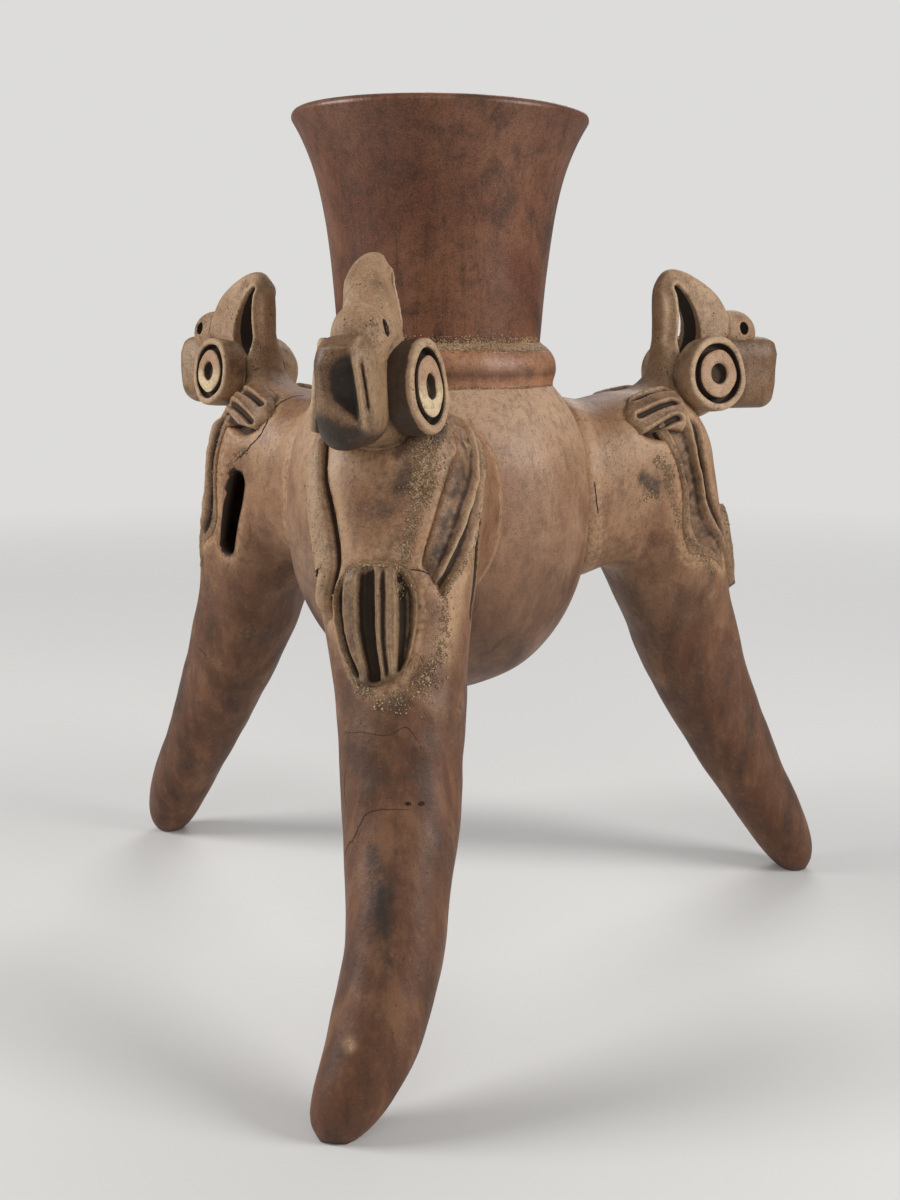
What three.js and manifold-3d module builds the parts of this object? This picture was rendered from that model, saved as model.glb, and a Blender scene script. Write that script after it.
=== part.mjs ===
// Tripod jar of fired clay: a round bowl under a flared neck, on three hollow rattle legs.
// Each leg carries a modelled bird with a raised beak, ring eyes, arms, claws and a fanned tail.
// Millimetres, +Z up, floor at z 0. The front leg points along -Y.

import * as THREE from 'three';
import { mergeVertices } from 'three/addons/utils/BufferGeometryUtils.js';
import Module from 'manifold-3d';

const wasm = await Module();
wasm.setup();

// Driving dimensions of the vessel
const bowlRadius = 63;
const bowlBase = 105.5;
const bowlTop = 232;
const bowlWall = 6;
const neckTop = 340;
const neckRadius = 41.1;
const rimRadius = 59.2;
const neckWall = 5;
const lipRadius = 2.4;
const ringHeight = 17;
const ringProud = 6.8;

// Driving dimensions of the legs
const frontFootReach = 183;
const rightFootReach = 183;
const leftFootReach = 185;
const shoulderDrop = 3;
const legDepth = 72;
const legWidth = 64;
const legWall = 6;
const frontLegBow = 13;
const sideLegBow = 3;
const slitLength = 41;
const slitGrip = 0.9;

// Driving dimensions of the birds
const headSetback = 35;
const headSink = 10;
const headReach = 47;
const headHeight = 62;
const headWidth = 31;
const cereThickness = 2.4;
const combWidth = 22.5;
const combHeight = 35;
const combProud = 13;
const beakSlotHeight = 31;
const beakSlotWidth = 7.4;
const nostrilRadius = 1.8;
const eyeRadius = 16;
const eyeThickness = 8;
const eyeGrooveDepth = 3.2;
const buttonRadius = 9.8;
const buttonThickness = 3;
const pupilRadius = 3.9;
const armThickness = 3.8;
const clawThickness = 5.2;
const tailThickness = 6.5;
const grooveDepth = 2.6;

// Shared fits
const clayGap = 0.3;
const cutOverrun = 20;

// Facets
const latheSegments = 30;
const legSides = 18;
const headSides = 14;
const eyeSegments = 14;

// Solids: geometry to solid and back
function toSolid(geometry) {
  const bare = geometry.clone();
  bare.deleteAttribute('normal');
  bare.deleteAttribute('uv');
  const merged = mergeVertices(bare, clayGap * mergeShare);
  const mesh = new wasm.Mesh({
    numProp: 3,
    vertProperties: new Float32Array(merged.attributes.position.array),
    triVerts: new Uint32Array(merged.index.array),
  });
  mesh.merge();
  return new wasm.Manifold(mesh);
}

function toGeometry(solid) {
  const mesh = solid.getMesh();
  const geometry = new THREE.BufferGeometry();
  geometry.setAttribute('position', new THREE.BufferAttribute(new Float32Array(mesh.vertProperties), 3));
  geometry.setIndex(new THREE.BufferAttribute(new Uint32Array(mesh.triVerts), 1));
  return geometry;
}

function indexed(points, triangles) {
  const geometry = new THREE.BufferGeometry();
  geometry.setAttribute('position', new THREE.Float32BufferAttribute(points.flatMap((p) => [p.x, p.y, p.z]), 3));
  geometry.setIndex(triangles);
  return geometry;
}

// A body of revolution about Z from a closed [radius, height] outline
function turned(outline, segments) {
  const geometry = new THREE.LatheGeometry(outline.map(([r, z]) => new THREE.Vector2(r, z)), segments);
  geometry.rotateX(Math.PI / 2);
  return geometry;
}

// A body lofted through oval sections; each has a centre, an outward and a sideways direction,
// its two half sizes and a squareness, where 2 is an ellipse
function loft(sections, sides, grow) {
  const points = [];
  const triangles = [];
  for (const section of sections) {
    for (let j = 0; j < sides; j += 1) {
      points.push(sectionPoint(section, (j / sides) * 2 * Math.PI, grow));
    }
  }
  for (let i = 0; i + 1 < sections.length; i += 1) {
    for (let j = 0; j < sides; j += 1) {
      const next = (j + 1) % sides;
      const a = i * sides + j;
      const b = i * sides + next;
      triangles.push(a, a + sides, b + sides, a, b + sides, b);
    }
  }
  const first = points.push(sections[0].centre.clone()) - 1;
  const last = points.push(sections[sections.length - 1].centre.clone()) - 1;
  const lastRing = (sections.length - 1) * sides;
  for (let j = 0; j < sides; j += 1) {
    const next = (j + 1) % sides;
    triangles.push(first, j, next, last, lastRing + next, lastRing + j);
  }
  return indexed(points, triangles);
}

function sectionPoint(section, angle, grow) {
  const power = 2 / section.square;
  const out = Math.sign(Math.cos(angle)) * Math.abs(Math.cos(angle)) ** power;
  const side = Math.sign(Math.sin(angle)) * Math.abs(Math.sin(angle)) ** power;
  return section.centre.clone()
    .addScaledVector(section.outward, out * (section.depth + grow))
    .addScaledVector(section.sideways, side * (section.width + grow));
}

// A closed slab between two sheets of points, rows along the leg and columns around it
function slab(rows, columns, upper, lower) {
  const points = [];
  const triangles = [];
  for (const sheet of [upper, lower]) {
    for (let i = 0; i <= rows; i += 1) {
      for (let j = 0; j <= columns; j += 1) {
        points.push(sheet(i / rows, j / columns));
      }
    }
  }
  const wide = columns + 1;
  const under = (rows + 1) * wide;
  const quad = (a, b, c, d) => triangles.push(a, b, c, a, c, d);
  for (let i = 0; i < rows; i += 1) {
    for (let j = 0; j < columns; j += 1) {
      const a = i * wide + j;
      quad(a, a + wide, a + wide + 1, a + 1);
      quad(under + a, under + a + 1, under + a + wide + 1, under + a + wide);
    }
    const left = i * wide;
    const right = left + columns;
    quad(left, under + left, under + left + wide, left + wide);
    quad(right + wide, under + right + wide, under + right, right);
  }
  for (let j = 0; j < columns; j += 1) {
    const end = rows * wide + j;
    quad(j + 1, under + j + 1, under + j, j);
    quad(end, under + end, under + end + 1, end + 1);
  }
  return indexed(points, triangles);
}

// A flat outline in the leg's upright plane, cut through along the sideways direction
function throughCut(outline, from, to) {
  const shape = new THREE.Shape(outline.map(([r, z]) => new THREE.Vector2(r, z)));
  const geometry = new THREE.ExtrudeGeometry(shape, { depth: to - from, bevelEnabled: false });
  geometry.rotateX(Math.PI / 2);
  geometry.translate(0, to, 0);
  return geometry;
}

// Moves a [radius, height] outline inwards by a wall, square to its own run
function inset(outline, wall) {
  return outline.map(([r, z], i) => {
    const [rBefore, zBefore] = outline[Math.max(i - 1, 0)];
    const [rAfter, zAfter] = outline[Math.min(i + 1, outline.length - 1)];
    const run = Math.hypot(rAfter - rBefore, zAfter - zBefore);
    const inward = r - (wall * (zAfter - zBefore)) / run;
    return [r === 0 ? 0 : inward, z + (wall * (rAfter - rBefore)) / run];
  });
}

const mergeShare = 0.01;
const lerp = THREE.MathUtils.lerp;
const radians = THREE.MathUtils.degToRad;

// Fired clay finishes
const finishes = {
  slip: { color: 0x7a4e3c, roughness: 0.42, metalness: 0 },
  clay: { color: 0x9c765f, roughness: 0.6, metalness: 0 },
  legClay: { color: 0x7c5a48, roughness: 0.58, metalness: 0 },
  buff: { color: 0xa8896a, roughness: 0.72, metalness: 0 },
  umber: { color: 0x54422f, roughness: 0.75, metalness: 0 },
  cream: { color: 0xcfb99c, roughness: 0.7, metalness: 0 },
  pellet: { color: 0x8d6b55, roughness: 0.85, metalness: 0 },
};

function named(name, geometry, finish) {
  const mesh = new THREE.Mesh(geometry, new THREE.MeshStandardMaterial(finishes[finish]));
  mesh.name = name;
  return mesh;
}

// Bowl: an ovoid shell, open at the top where the neck stands
// Shares of the bowl's radius and of its height, from the underside to the neck seat
const bowlOutlineShares = [
  [0, 0], [0.34, 0.028], [0.6, 0.098], [0.8, 0.212], [0.93, 0.35], [0.99, 0.5],
  [1, 0.63], [0.975, 0.77], [0.92, 0.86], [0.83, 0.945], [0.745, 1],
];

function bowlOutline() {
  return bowlOutlineShares.map(([r, z]) => [bowlRadius * r, lerp(bowlBase, bowlTop, z)]);
}

function bowlShell() {
  const outer = bowlOutline();
  const mouth = neckRadius - neckWall;
  const inner = inset(outer, bowlWall).filter(([r, z]) => z < bowlTop - bowlWall || r < mouth);
  return turned([...outer, [mouth, bowlTop], [mouth, bowlTop - bowlWall], ...inner.reverse()], latheSegments);
}

// What a leg is cut back by: the bowl's outside, filled, with the joint's gap all round
function bowlCutter() {
  const facet = 1 / Math.cos(Math.PI / latheSegments);
  const outline = inset(bowlOutline(), -clayGap).map(([r, z]) => [r * facet, z]);
  const top = outline[outline.length - 1];
  return toSolid(turned([...outline, [0, top[1]]], latheSegments));
}

// Neck: a tube that stands on the bowl's mouth and flares to a rounded lip
const flareSteps = 7;
const lipSteps = 3;
const flareStraightShare = 0.4;
const flarePower = 4.25;

function neckShell() {
  const seat = bowlTop + clayGap;
  const flareStart = bowlTop + ringHeight;
  const outer = [[neckRadius, seat]];
  for (let i = 0; i < flareSteps; i += 1) {
    const t = i / flareSteps;
    const open = flareStraightShare * t + (1 - flareStraightShare) * t ** flarePower;
    outer.push([lerp(neckRadius, rimRadius, open), lerp(flareStart, neckTop - lipRadius, t)]);
  }
  const inner = inset(outer, neckWall);
  inner[0][1] = seat;
  const lip = [];
  for (let i = 0; i <= lipSteps; i += 1) {
    const turn = (i / lipSteps) * Math.PI;
    lip.push([rimRadius - lipRadius + lipRadius * Math.cos(turn), neckTop - lipRadius + lipRadius * Math.sin(turn)]);
  }
  const outline = [...outer, ...lip, ...inner.reverse()];
  return turned([...outline, outline[0]], latheSegments);
}

// Collar ring: a raised coil round the foot of the neck, resting on the bowl's shoulder
const ringOutlineShares = [
  [0, 0], [0.8, 0], [0.97, 0.16], [1, 0.36], [0.84, 0.62], [0.46, 0.86], [0, 1],
];

function collarRing() {
  const inside = neckRadius + clayGap;
  const low = bowlTop + clayGap;
  const outline = ringOutlineShares.map(([r, z]) => [inside + ringProud * r, low + ringHeight * z]);
  return turned([...outline, outline[0]], latheSegments);
}

// Leg: a hollow, bent and tapering form. Each station gives, as shares, how far out it lies
// between the bowl's side and the foot, its height, its lean in degrees from upright, its depth,
// its width, its squareness and how much of the sideways bow it takes
const legStationShares = [
  [-0.21, 0.82, 0, 1.01, 1.02, 2.3, 0],
  [-0.02, 0.822, 0, 1.0, 1.0, 2.4, 0],
  [0.125, 0.834, 6.8, 1.06, 0.96, 2.6, 0.08],
  [0.235, 0.829, 17.9, 1.13, 0.92, 2.7, 0.16],
  [0.305, 0.793, 28.8, 1.07, 0.91, 2.6, 0.22],
  [0.344, 0.74, 36.4, 0.955, 0.87, 2.5, 0.27],
  [0.376, 0.683, 41.8, 0.85, 0.82, 2.4, 0.36],
  [0.415, 0.616, 47.5, 0.755, 0.755, 2.3, 0.5],
  [0.46, 0.54, 56, 0.68, 0.7, 2.2, 0.66],
  [0.535, 0.441, 63, 0.595, 0.65, 2.1, 0.78],
  [0.65, 0.328, 60, 0.525, 0.58, 2, 0.95],
  [0.765, 0.223, 57.4, 0.455, 0.52, 2, 1],
  [0.885, 0.12, 58.4, 0.395, 0.49, 2, 0.74],
  [0.955, 0.056, 58.5, 0.33, 0.42, 2, 0.36],
  [0.99, 0.02, 58.5, 0.24, 0.32, 2, 0.12],
  [1.01, -0.004, 58.5, 0.11, 0.16, 2, 0],
];
const lastStation = legStationShares.length - 1;
const shoulderHeight = bowlTop - shoulderDrop;
const outwardAxis = new THREE.Vector3(1, 0, 0);
const sidewaysAxis = new THREE.Vector3(0, 1, 0);

function legSection(along, reach, bow) {
  const at = THREE.MathUtils.clamp(along, 0, 1) * lastStation;
  const low = Math.min(Math.floor(at), lastStation - 1);
  const before = legStationShares[low];
  const after = legStationShares[low + 1];
  const [out, up, lean, depth, width, square, bent] = before.map((v, i) => lerp(v, after[i], at - low));
  const tilt = radians(lean);
  return {
    centre: new THREE.Vector3(bowlRadius + (reach - bowlRadius) * out, bow * bent, shoulderHeight * up),
    outward: new THREE.Vector3(Math.sin(tilt), 0, Math.cos(tilt)),
    sideways: sidewaysAxis,
    depth: (legDepth * depth) / 2,
    width: (legWidth * width) / 2,
    square,
  };
}

function legSections(reach, bow, thinner, endShare) {
  const shares = [endShare];
  for (let i = Math.ceil(lastStation * endShare) - 1; i >= 0; i -= 1) {
    shares.unshift(i / lastStation);
  }
  return shares.map((share) => {
    const section = legSection(share, reach, bow);
    section.depth -= thinner;
    section.width -= thinner;
    return section;
  });
}

// Where the rattle chamber ends, as a share of the stations, and how large a pellet lies in it.
// The slit is narrower than a pellet by its grip, so that no pellet falls out
const chamberEndShare = 9.7 / lastStation;
const pelletShare = 0.431;
const pelletRadius = pelletShare * (legSection(chamberEndShare, frontFootReach, 0).width - legWall);
const slitWidth = 2 * pelletRadius - slitGrip;
const slitAlongShare = 4.1 / lastStation;
const slitBackShare = 0.2;
const slitEndSteps = 4;

function slitCutter(reach, bow) {
  const at = legSection(slitAlongShare, reach, bow);
  const below = legSection(slitAlongShare + 1 / lastStation, reach, bow);
  const run = below.centre.clone().sub(at.centre).normalize();
  const across = new THREE.Vector3(-run.z, 0, run.x);
  const middle = at.centre.clone().addScaledVector(at.outward, -slitBackShare * at.depth);
  const half = slitWidth / 2;
  const outline = [];
  for (const end of [1, -1]) {
    for (let i = 0; i <= slitEndSteps; i += 1) {
      const turn = (i / slitEndSteps - 1 / 2) * Math.PI;
      const lengthways = end * (slitLength / 2 - half + half * Math.cos(turn));
      const p = middle.clone()
        .addScaledVector(run, lengthways)
        .addScaledVector(across, end * half * Math.sin(turn));
      outline.push([p.x, p.z]);
    }
  }
  return toSolid(throughCut(outline, at.width / 2, at.width + cutOverrun));
}

// What is below the floor, so that the foot ends in a flat
function floorCutter(reach) {
  const block = new THREE.BoxGeometry(reach, legWidth, cutOverrun);
  block.translate(reach, 0, -cutOverrun / 2);
  return toSolid(block);
}

function legShell(reach, bow) {
  return toSolid(loft(legSections(reach, bow, 0, 1), legSides, 0))
    .subtract(toSolid(loft(legSections(reach, bow, legWall, chamberEndShare), legSides, 0)))
    .subtract(bowlCutter())
    .subtract(slitCutter(reach, bow))
    .subtract(floorCutter(reach));
}

// Raised work on the leg's surface. It runs along the stations from one share to another,
// round the section by an angle, and stands by the height that its relief gives
const reliefStepShare = 0.01;

function reliefPoint(along, angle, height, reach, bow) {
  const here = sectionPoint(legSection(along, reach, bow), angle, 0);
  const further = sectionPoint(legSection(along + reliefStepShare, reach, bow), angle, 0).sub(here);
  const round = sectionPoint(legSection(along, reach, bow), angle + reliefStepShare, 0).sub(here);
  return here.addScaledVector(further.cross(round).normalize(), height);
}

function reliefForm(patch, side, leg, grow) {
  const sink = legWall / 2;
  const wider = THREE.MathUtils.radToDeg((2 * grow) / legWidth);
  const place = (t, u, height) => {
    const across = (2 * u - 1) * (patch.halfAngle(t) + 2 * wider) + side * patch.middle(t);
    const longer = (2 * t - 1) * (grow / legDepth);
    const along = lerp(patch.from, patch.to, t) + longer;
    return reliefPoint(along, radians(across), height + grow, leg.reach, leg.bow);
  };
  const top = (t, u) => place(t, u, patch.height(t, side * (2 * u - 1)));
  const bottom = (t, u) => place(t, u, -sink - grow);
  return toSolid(slab(patch.rows, patch.columns, top, bottom));
}

function relief(patch, side, leg) {
  return reliefForm(patch, side, leg, 0).subtract(leg.grown);
}

// A rounded swell, full in the middle and falling to its edge
function swell(x, edgeShare) {
  return lerp(edgeShare, 1, Math.sqrt(Math.max(1 - x * x, 0)));
}

function ridges(x, count) {
  return Math.abs(Math.sin(((x + 1) / 2) * count * Math.PI));
}

function along(values, t) {
  const at = t * (values.length - 1);
  const low = Math.min(Math.floor(at), values.length - 2);
  return lerp(values[low], values[low + 1], at - low);
}

// Arm: a flat strip of clay from under the eye down to the tail, with a raised edge each side
const armMiddleDegrees = [50, 66, 71, 71, 60];
const armHalfDegrees = [14, 17, 16, 14, 10];
const armHollowShare = 0.4;
const armEdgePower = 1.5;

const armPatch = {
  from: 3.15 / lastStation,
  to: 6.9 / lastStation,
  rows: 6,
  columns: 6,
  middle: (t) => along(armMiddleDegrees, t),
  halfAngle: (t) => along(armHalfDegrees, t),
  height: (t, u) => armThickness * lerp(armHollowShare, 1, Math.abs(u) ** armEdgePower),
};

// Claw: four folded fingers on the shoulder, pointing at the bowl
const clawMiddleDegrees = 49;
const clawHalfDegrees = 22;
const clawOutlineShare = 0.45;
const clawEndShare = 0.3;
const clawSideShare = 0.35;
const clawFingers = 4;

const clawPatch = {
  from: 1.6 / lastStation,
  to: 2.95 / lastStation,
  rows: 5,
  columns: 8,
  middle: () => clawMiddleDegrees,
  halfAngle: (t) => clawHalfDegrees * swell(2 * t - 1, clawOutlineShare),
  height: (t, u) => swell(2 * t - 1, clawEndShare) * swell(u, clawSideShare)
    * (clawThickness - grooveDepth * (1 - ridges(u, clawFingers))),
};

// Tail: a fan of feathers on the front of the leg under the bird's breast
const tailMiddleDegrees = -3;
const tailHalfDegrees = 38;
const tailOutlineShare = 0.5;
const tailEndShare = 0.35;
const tailSideShare = 0.4;
const tailFeathers = 5;

const tailPatch = {
  from: 6.05 / lastStation,
  to: 7.95 / lastStation,
  rows: 6,
  columns: 10,
  middle: () => tailMiddleDegrees,
  halfAngle: (t) => tailHalfDegrees * swell(2 * t - 1, tailOutlineShare),
  height: (t, u) => swell(2 * t - 1, tailEndShare) * swell(u, tailSideShare)
    * (tailThickness - grooveDepth * (1 - ridges(u, tailFeathers))),
};

// Head: the bird's head and open beak, thrown back. Shares of the head's reach from its back,
// of its height from its seat, of its half width, and the squareness of each section
const headBack = bowlRadius + headSetback;
const headSeat = shoulderHeight - headSink;
const headStationShares = [
  [0.17, 0.3, 1.0, 0.1, 2],
  [0.11, 0.385, 0.975, 0.27, 2.1],
  [0.03, 0.53, 0.9, 0.42, 2.3],
  [0.0, 0.67, 0.79, 0.5, 2.4],
  [0.01, 0.8, 0.68, 0.56, 2.5],
  [0.02, 0.93, 0.55, 0.66, 2.5],
  [0.03, 1.0, 0.42, 0.82, 2.4],
  [0.0, 1.02, 0.27, 0.95, 2.3],
  [-0.12, 0.98, 0.12, 1.0, 2.2],
  [-0.2, 0.66, -0.05, 0.95, 2.1],
];

function headForm(grow) {
  const sections = headStationShares.map(([back, front, up, width, square]) => ({
    centre: new THREE.Vector3(headBack + (headReach * (back + front)) / 2, 0, headSeat + headHeight * up),
    outward: outwardAxis,
    sideways: sidewaysAxis,
    depth: (headReach * (front - back)) / 2,
    width: (headWidth * width) / 2,
    square,
  }));
  return toSolid(loft(sections, headSides, grow));
}

// The open gap between the two halves of the beak: shares of its width and height
const slotOutlineShares = [
  [-0.5, 0.97], [-0.05, 0.72], [0.02, 0.45], [0.12, 0.2], [0.3, 0.03], [0.62, 0],
  [0.92, 0.13], [1.05, 0.35], [0.95, 0.6], [0.6, 0.82], [-0.2, 1],
];
const slotBackShare = 0.27;
const slotSeatShare = 0.38;

function slotCutter() {
  const outline = slotOutlineShares.map(([r, z]) => [
    headBack + headReach * slotBackShare + beakSlotWidth * r,
    headSeat + headHeight * slotSeatShare + beakSlotHeight * z,
  ]);
  return toSolid(throughCut(outline, -headWidth, headWidth));
}

// Nostrils: one oval hole on each side of the cere
const nostrilOutShare = 0.87;
const nostrilUpShare = 0.585;
const nostrilDepthShare = 0.36;
const nostrilStretch = 1.6;
const nostrilSegments = 10;

function nostrilCutters() {
  return [1, -1].map((side) => {
    const hole = new THREE.CylinderGeometry(nostrilRadius, nostrilRadius, headWidth / 2, nostrilSegments);
    hole.scale(1, 1, nostrilStretch);
    hole.translate(
      headBack + headReach * nostrilOutShare,
      side * headWidth * (nostrilDepthShare / 2 + 1 / 4),
      headSeat + headHeight * nostrilUpShare,
    );
    return toSolid(hole);
  });
}

// Eyes: a thick ring disc on each side of the head, with a button in its groove
const eyeOutShare = 0.47;
const eyeUpShare = 0.275;
const eyeFaceShare = 0.64;
const eyeTurn = 12;
const eyeLift = 6;
const grooveShare = 0.8;
const roundShare = 0.2;

function placeEye(geometry, side) {
  const aim = new THREE.Vector3(
    Math.sin(radians(eyeTurn)),
    side * Math.cos(radians(eyeTurn)),
    Math.sin(radians(eyeLift)),
  ).normalize();
  const turn = new THREE.Quaternion().setFromUnitVectors(new THREE.Vector3(0, 0, 1), aim);
  geometry.applyQuaternion(turn);
  geometry.translate(
    headBack + headReach * eyeOutShare,
    side * headWidth * eyeFaceShare,
    headSeat + headHeight * eyeUpShare,
  );
  return geometry;
}

function eyeDisc(side) {
  const round = eyeThickness * roundShare;
  const groove = eyeRadius * grooveShare;
  const outline = [
    [0, -eyeThickness], [eyeRadius - round, -eyeThickness], [eyeRadius, -eyeThickness + round],
    [eyeRadius, -round], [eyeRadius - round, 0], [groove, 0], [groove, -eyeGrooveDepth], [0, -eyeGrooveDepth],
  ];
  return placeEye(turned(outline, eyeSegments), side);
}

function eyeCutter(side) {
  const radius = eyeRadius + clayGap;
  const back = -eyeThickness - clayGap;
  const outline = [[0, back], [radius, back], [radius, eyeThickness], [0, eyeThickness]];
  return toSolid(placeEye(turned(outline, eyeSegments), side));
}

function eyeButton(side) {
  const low = clayGap - eyeGrooveDepth;
  const high = low + buttonThickness;
  const round = buttonThickness * roundShare;
  const outline = [
    [0, low], [buttonRadius, low], [buttonRadius, high - round], [buttonRadius - round, high],
    [pupilRadius, high], [pupilRadius, low + round], [0, low + round],
  ];
  return placeEye(turned(outline, eyeSegments), side);
}

// Comb: a lobed knob in front of the head with two upright grooves
const combStationShares = [
  [1.0, 0.3, 0.42, 2.2], [0.93, 0.62, 0.75, 2.4], [0.78, 0.93, 0.95, 2.6], [0.55, 1.0, 1.0, 2.7],
  [0.32, 0.97, 0.98, 2.6], [0.12, 0.76, 0.8, 2.4], [0, 0.35, 0.45, 2.2],
];
const combGrooveShares = [[-0.22, 0.2], [0.21, 0.12]];
const combFrontShare = 0.985;
const combSeatShare = -0.01;
const combGrooveSegments = 10;

function combForm() {
  const back = headBack + headReach * combFrontShare;
  const deep = 2 * combProud;
  const sections = combStationShares.map(([up, proud, width, square]) => ({
    centre: new THREE.Vector3(back + combProud * proud - deep / 2, 0, headSeat + combHeight * (up + combSeatShare)),
    outward: outwardAxis,
    sideways: sidewaysAxis,
    depth: deep / 2,
    width: (combWidth * width) / 2,
    square,
  }));
  let solid = toSolid(loft(sections, headSides, 0));
  for (const [sideways, size] of combGrooveShares) {
    const groove = new THREE.CylinderGeometry(combWidth * size, combWidth * size, combHeight, combGrooveSegments);
    groove.rotateX(Math.PI / 2);
    groove.translate(back + combProud * (1 + size), combWidth * sideways, headSeat + combHeight / 2);
    solid = solid.subtract(toSolid(groove));
  }
  return solid;
}

// Cere: a thin saddle of clay over the root of the beak, between the beak and the comb
const cereStartShare = [0.71, 0.735];
const cereEndShare = [1.06, 0.5];
const cereBackShare = 0.3;

function cereForm() {
  const start = new THREE.Vector2(
    headBack + headReach * cereStartShare[0],
    headSeat + headHeight * cereStartShare[1],
  );
  const end = new THREE.Vector2(
    headBack + headReach * cereEndShare[0],
    headSeat + headHeight * cereEndShare[1],
  );
  const run = end.clone().sub(start);
  const square = new THREE.Vector2(-run.y, run.x).normalize();
  const low = -headReach * cereBackShare;
  const high = headReach * cereBackShare;
  const outline = [
    start.clone().addScaledVector(square, low), end.clone().addScaledVector(square, low),
    end.clone().addScaledVector(square, high), start.clone().addScaledVector(square, high),
  ].map((p) => [p.x, p.y]);
  return headForm(cereThickness).intersect(toSolid(throughCut(outline, -headWidth, headWidth)));
}

// Rattle pellets: two clay balls lying in the foot of each chamber
const pelletSegments = 9;
const pelletRings = 5;

function pelletCentre(leg, side) {
  const floor = legSection(chamberEndShare, leg.reach, leg.bow);
  const above = legSection(chamberEndShare - 1 / lastStation, leg.reach, leg.bow);
  const run = floor.centre.clone().sub(above.centre).normalize();
  const sideways = pelletRadius + clayGap;
  const clear = Math.min(floor.depth, floor.width) - legWall - pelletRadius - 2 * clayGap;
  const inwards = Math.sqrt(Math.max(clear * clear - sideways * sideways, 0));
  return floor.centre.clone()
    .addScaledVector(run, -pelletRadius - 2 * clayGap)
    .addScaledVector(floor.outward, -inwards)
    .addScaledVector(sidewaysAxis, side * sideways);
}

// One leg with its bird, standing along +X before it is turned to its place
function birdLeg(name, azimuth, reach, bow) {
  const group = new THREE.Group();
  const leg = { reach, bow, grown: toSolid(loft(legSections(reach, bow, 0, 1), legSides, clayGap)) };
  const add = (part, solid, finish) => group.add(named(`${name}_${part}`, toGeometry(solid), finish));
  const headGrown = headForm(clayGap);
  const eyes = eyeCutter(1).add(eyeCutter(-1));
  const nostrils = nostrilCutters();
  const cere = cereForm().subtract(headGrown).subtract(eyes).subtract(nostrils[0]).subtract(nostrils[1]);
  const cereCutter = headForm(cereThickness + clayGap);
  add('leg', legShell(reach, bow), 'legClay');
  add('head', headForm(0).subtract(leg.grown).subtract(eyes).subtract(slotCutter()), 'buff');
  add('cere', cere, 'buff');
  add('comb', combForm().subtract(cereCutter).subtract(eyes).subtract(leg.grown), 'umber');
  add('tail', relief(tailPatch, 1, leg), 'buff');
  const tailCutter = reliefForm(tailPatch, 1, leg, clayGap);
  for (const [word, side] of [['right', 1], ['left', -1]]) {
    add(`eye_disc_${word}`, toSolid(eyeDisc(side)).subtract(leg.grown), 'buff');
    add(`eye_button_${word}`, toSolid(eyeButton(side)), 'cream');
    add(`arm_${word}`, relief(armPatch, side, leg).subtract(eyes).subtract(tailCutter), 'buff');
    add(`claw_${word}`, relief(clawPatch, side, leg).subtract(eyes), 'buff');
    const pellet = new THREE.SphereGeometry(pelletRadius, pelletSegments, pelletRings);
    pellet.translate(...pelletCentre(leg, side).toArray());
    add(`pellet_${word}`, toSolid(pellet), 'pellet');
  }
  group.rotation.z = radians(azimuth);
  return group;
}

// The whole jar, moved so that the middle of its footprint stands on the origin
const jar = new THREE.Group();
jar.add(named('bowl', bowlShell(), 'clay'));
jar.add(named('neck', neckShell(), 'slip'));
jar.add(named('collar_ring', collarRing(), 'slip'));
jar.add(birdLeg('front', -90, frontFootReach, frontLegBow));
jar.add(birdLeg('right', 30, rightFootReach, sideLegBow));
jar.add(birdLeg('left', 150, leftFootReach, sideLegBow));
jar.updateMatrixWorld(true);
const footprint = new THREE.Box3().setFromObject(jar, true).getCenter(new THREE.Vector3());
jar.position.set(-footprint.x, -footprint.y, 0);

export default jar;
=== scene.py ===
import math

import bpy
import numpy as np
from mathutils.bvhtree import BVHTree
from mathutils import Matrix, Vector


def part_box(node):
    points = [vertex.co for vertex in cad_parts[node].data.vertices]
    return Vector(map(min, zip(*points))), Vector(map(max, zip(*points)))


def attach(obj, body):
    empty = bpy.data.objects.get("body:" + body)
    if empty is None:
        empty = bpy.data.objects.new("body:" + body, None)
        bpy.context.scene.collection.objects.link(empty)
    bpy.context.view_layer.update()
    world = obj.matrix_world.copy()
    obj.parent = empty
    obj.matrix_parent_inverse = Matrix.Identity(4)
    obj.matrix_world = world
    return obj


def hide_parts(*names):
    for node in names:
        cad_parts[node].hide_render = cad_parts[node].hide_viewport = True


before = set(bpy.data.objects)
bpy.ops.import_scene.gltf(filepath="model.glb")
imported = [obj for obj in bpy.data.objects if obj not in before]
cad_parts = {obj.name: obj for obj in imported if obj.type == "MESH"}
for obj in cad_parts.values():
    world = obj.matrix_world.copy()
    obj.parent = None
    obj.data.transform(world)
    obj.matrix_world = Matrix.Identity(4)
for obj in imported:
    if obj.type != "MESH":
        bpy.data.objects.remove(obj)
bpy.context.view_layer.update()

# Bowl: the round body of the jar, an ovoid shell of red-brown clay, coiled, scraped thin and
# burnished outside. Its mouth carries the neck and its side the three legs.
MM = 0.001
AXIS = (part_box("neck")[0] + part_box("neck")[1]) / 2
BOWL_RADIUS = 63.0
BOWL_LOW = 105.5
BOWL_HIGH = 232.0
BOWL_WALL = 6.0
NECK_RADIUS = 41.1
NECK_WALL = 5.0
BOWL_DARK_BELOW = 204
BOWL_PALE_ABOVE = 200
BOWL_OUTLINE = [
    (0, 0), (0.17, 0.007), (0.34, 0.028), (0.6, 0.098), (0.8, 0.212), (0.93, 0.35), (0.99, 0.5),
    (1, 0.63), (0.975, 0.77), (0.92, 0.86), (0.83, 0.945), (0.745, 1),
]
# The hollowness given to the walls of a cut, which paints them dark as shade.
CUT_SHADE = 1.4


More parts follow.
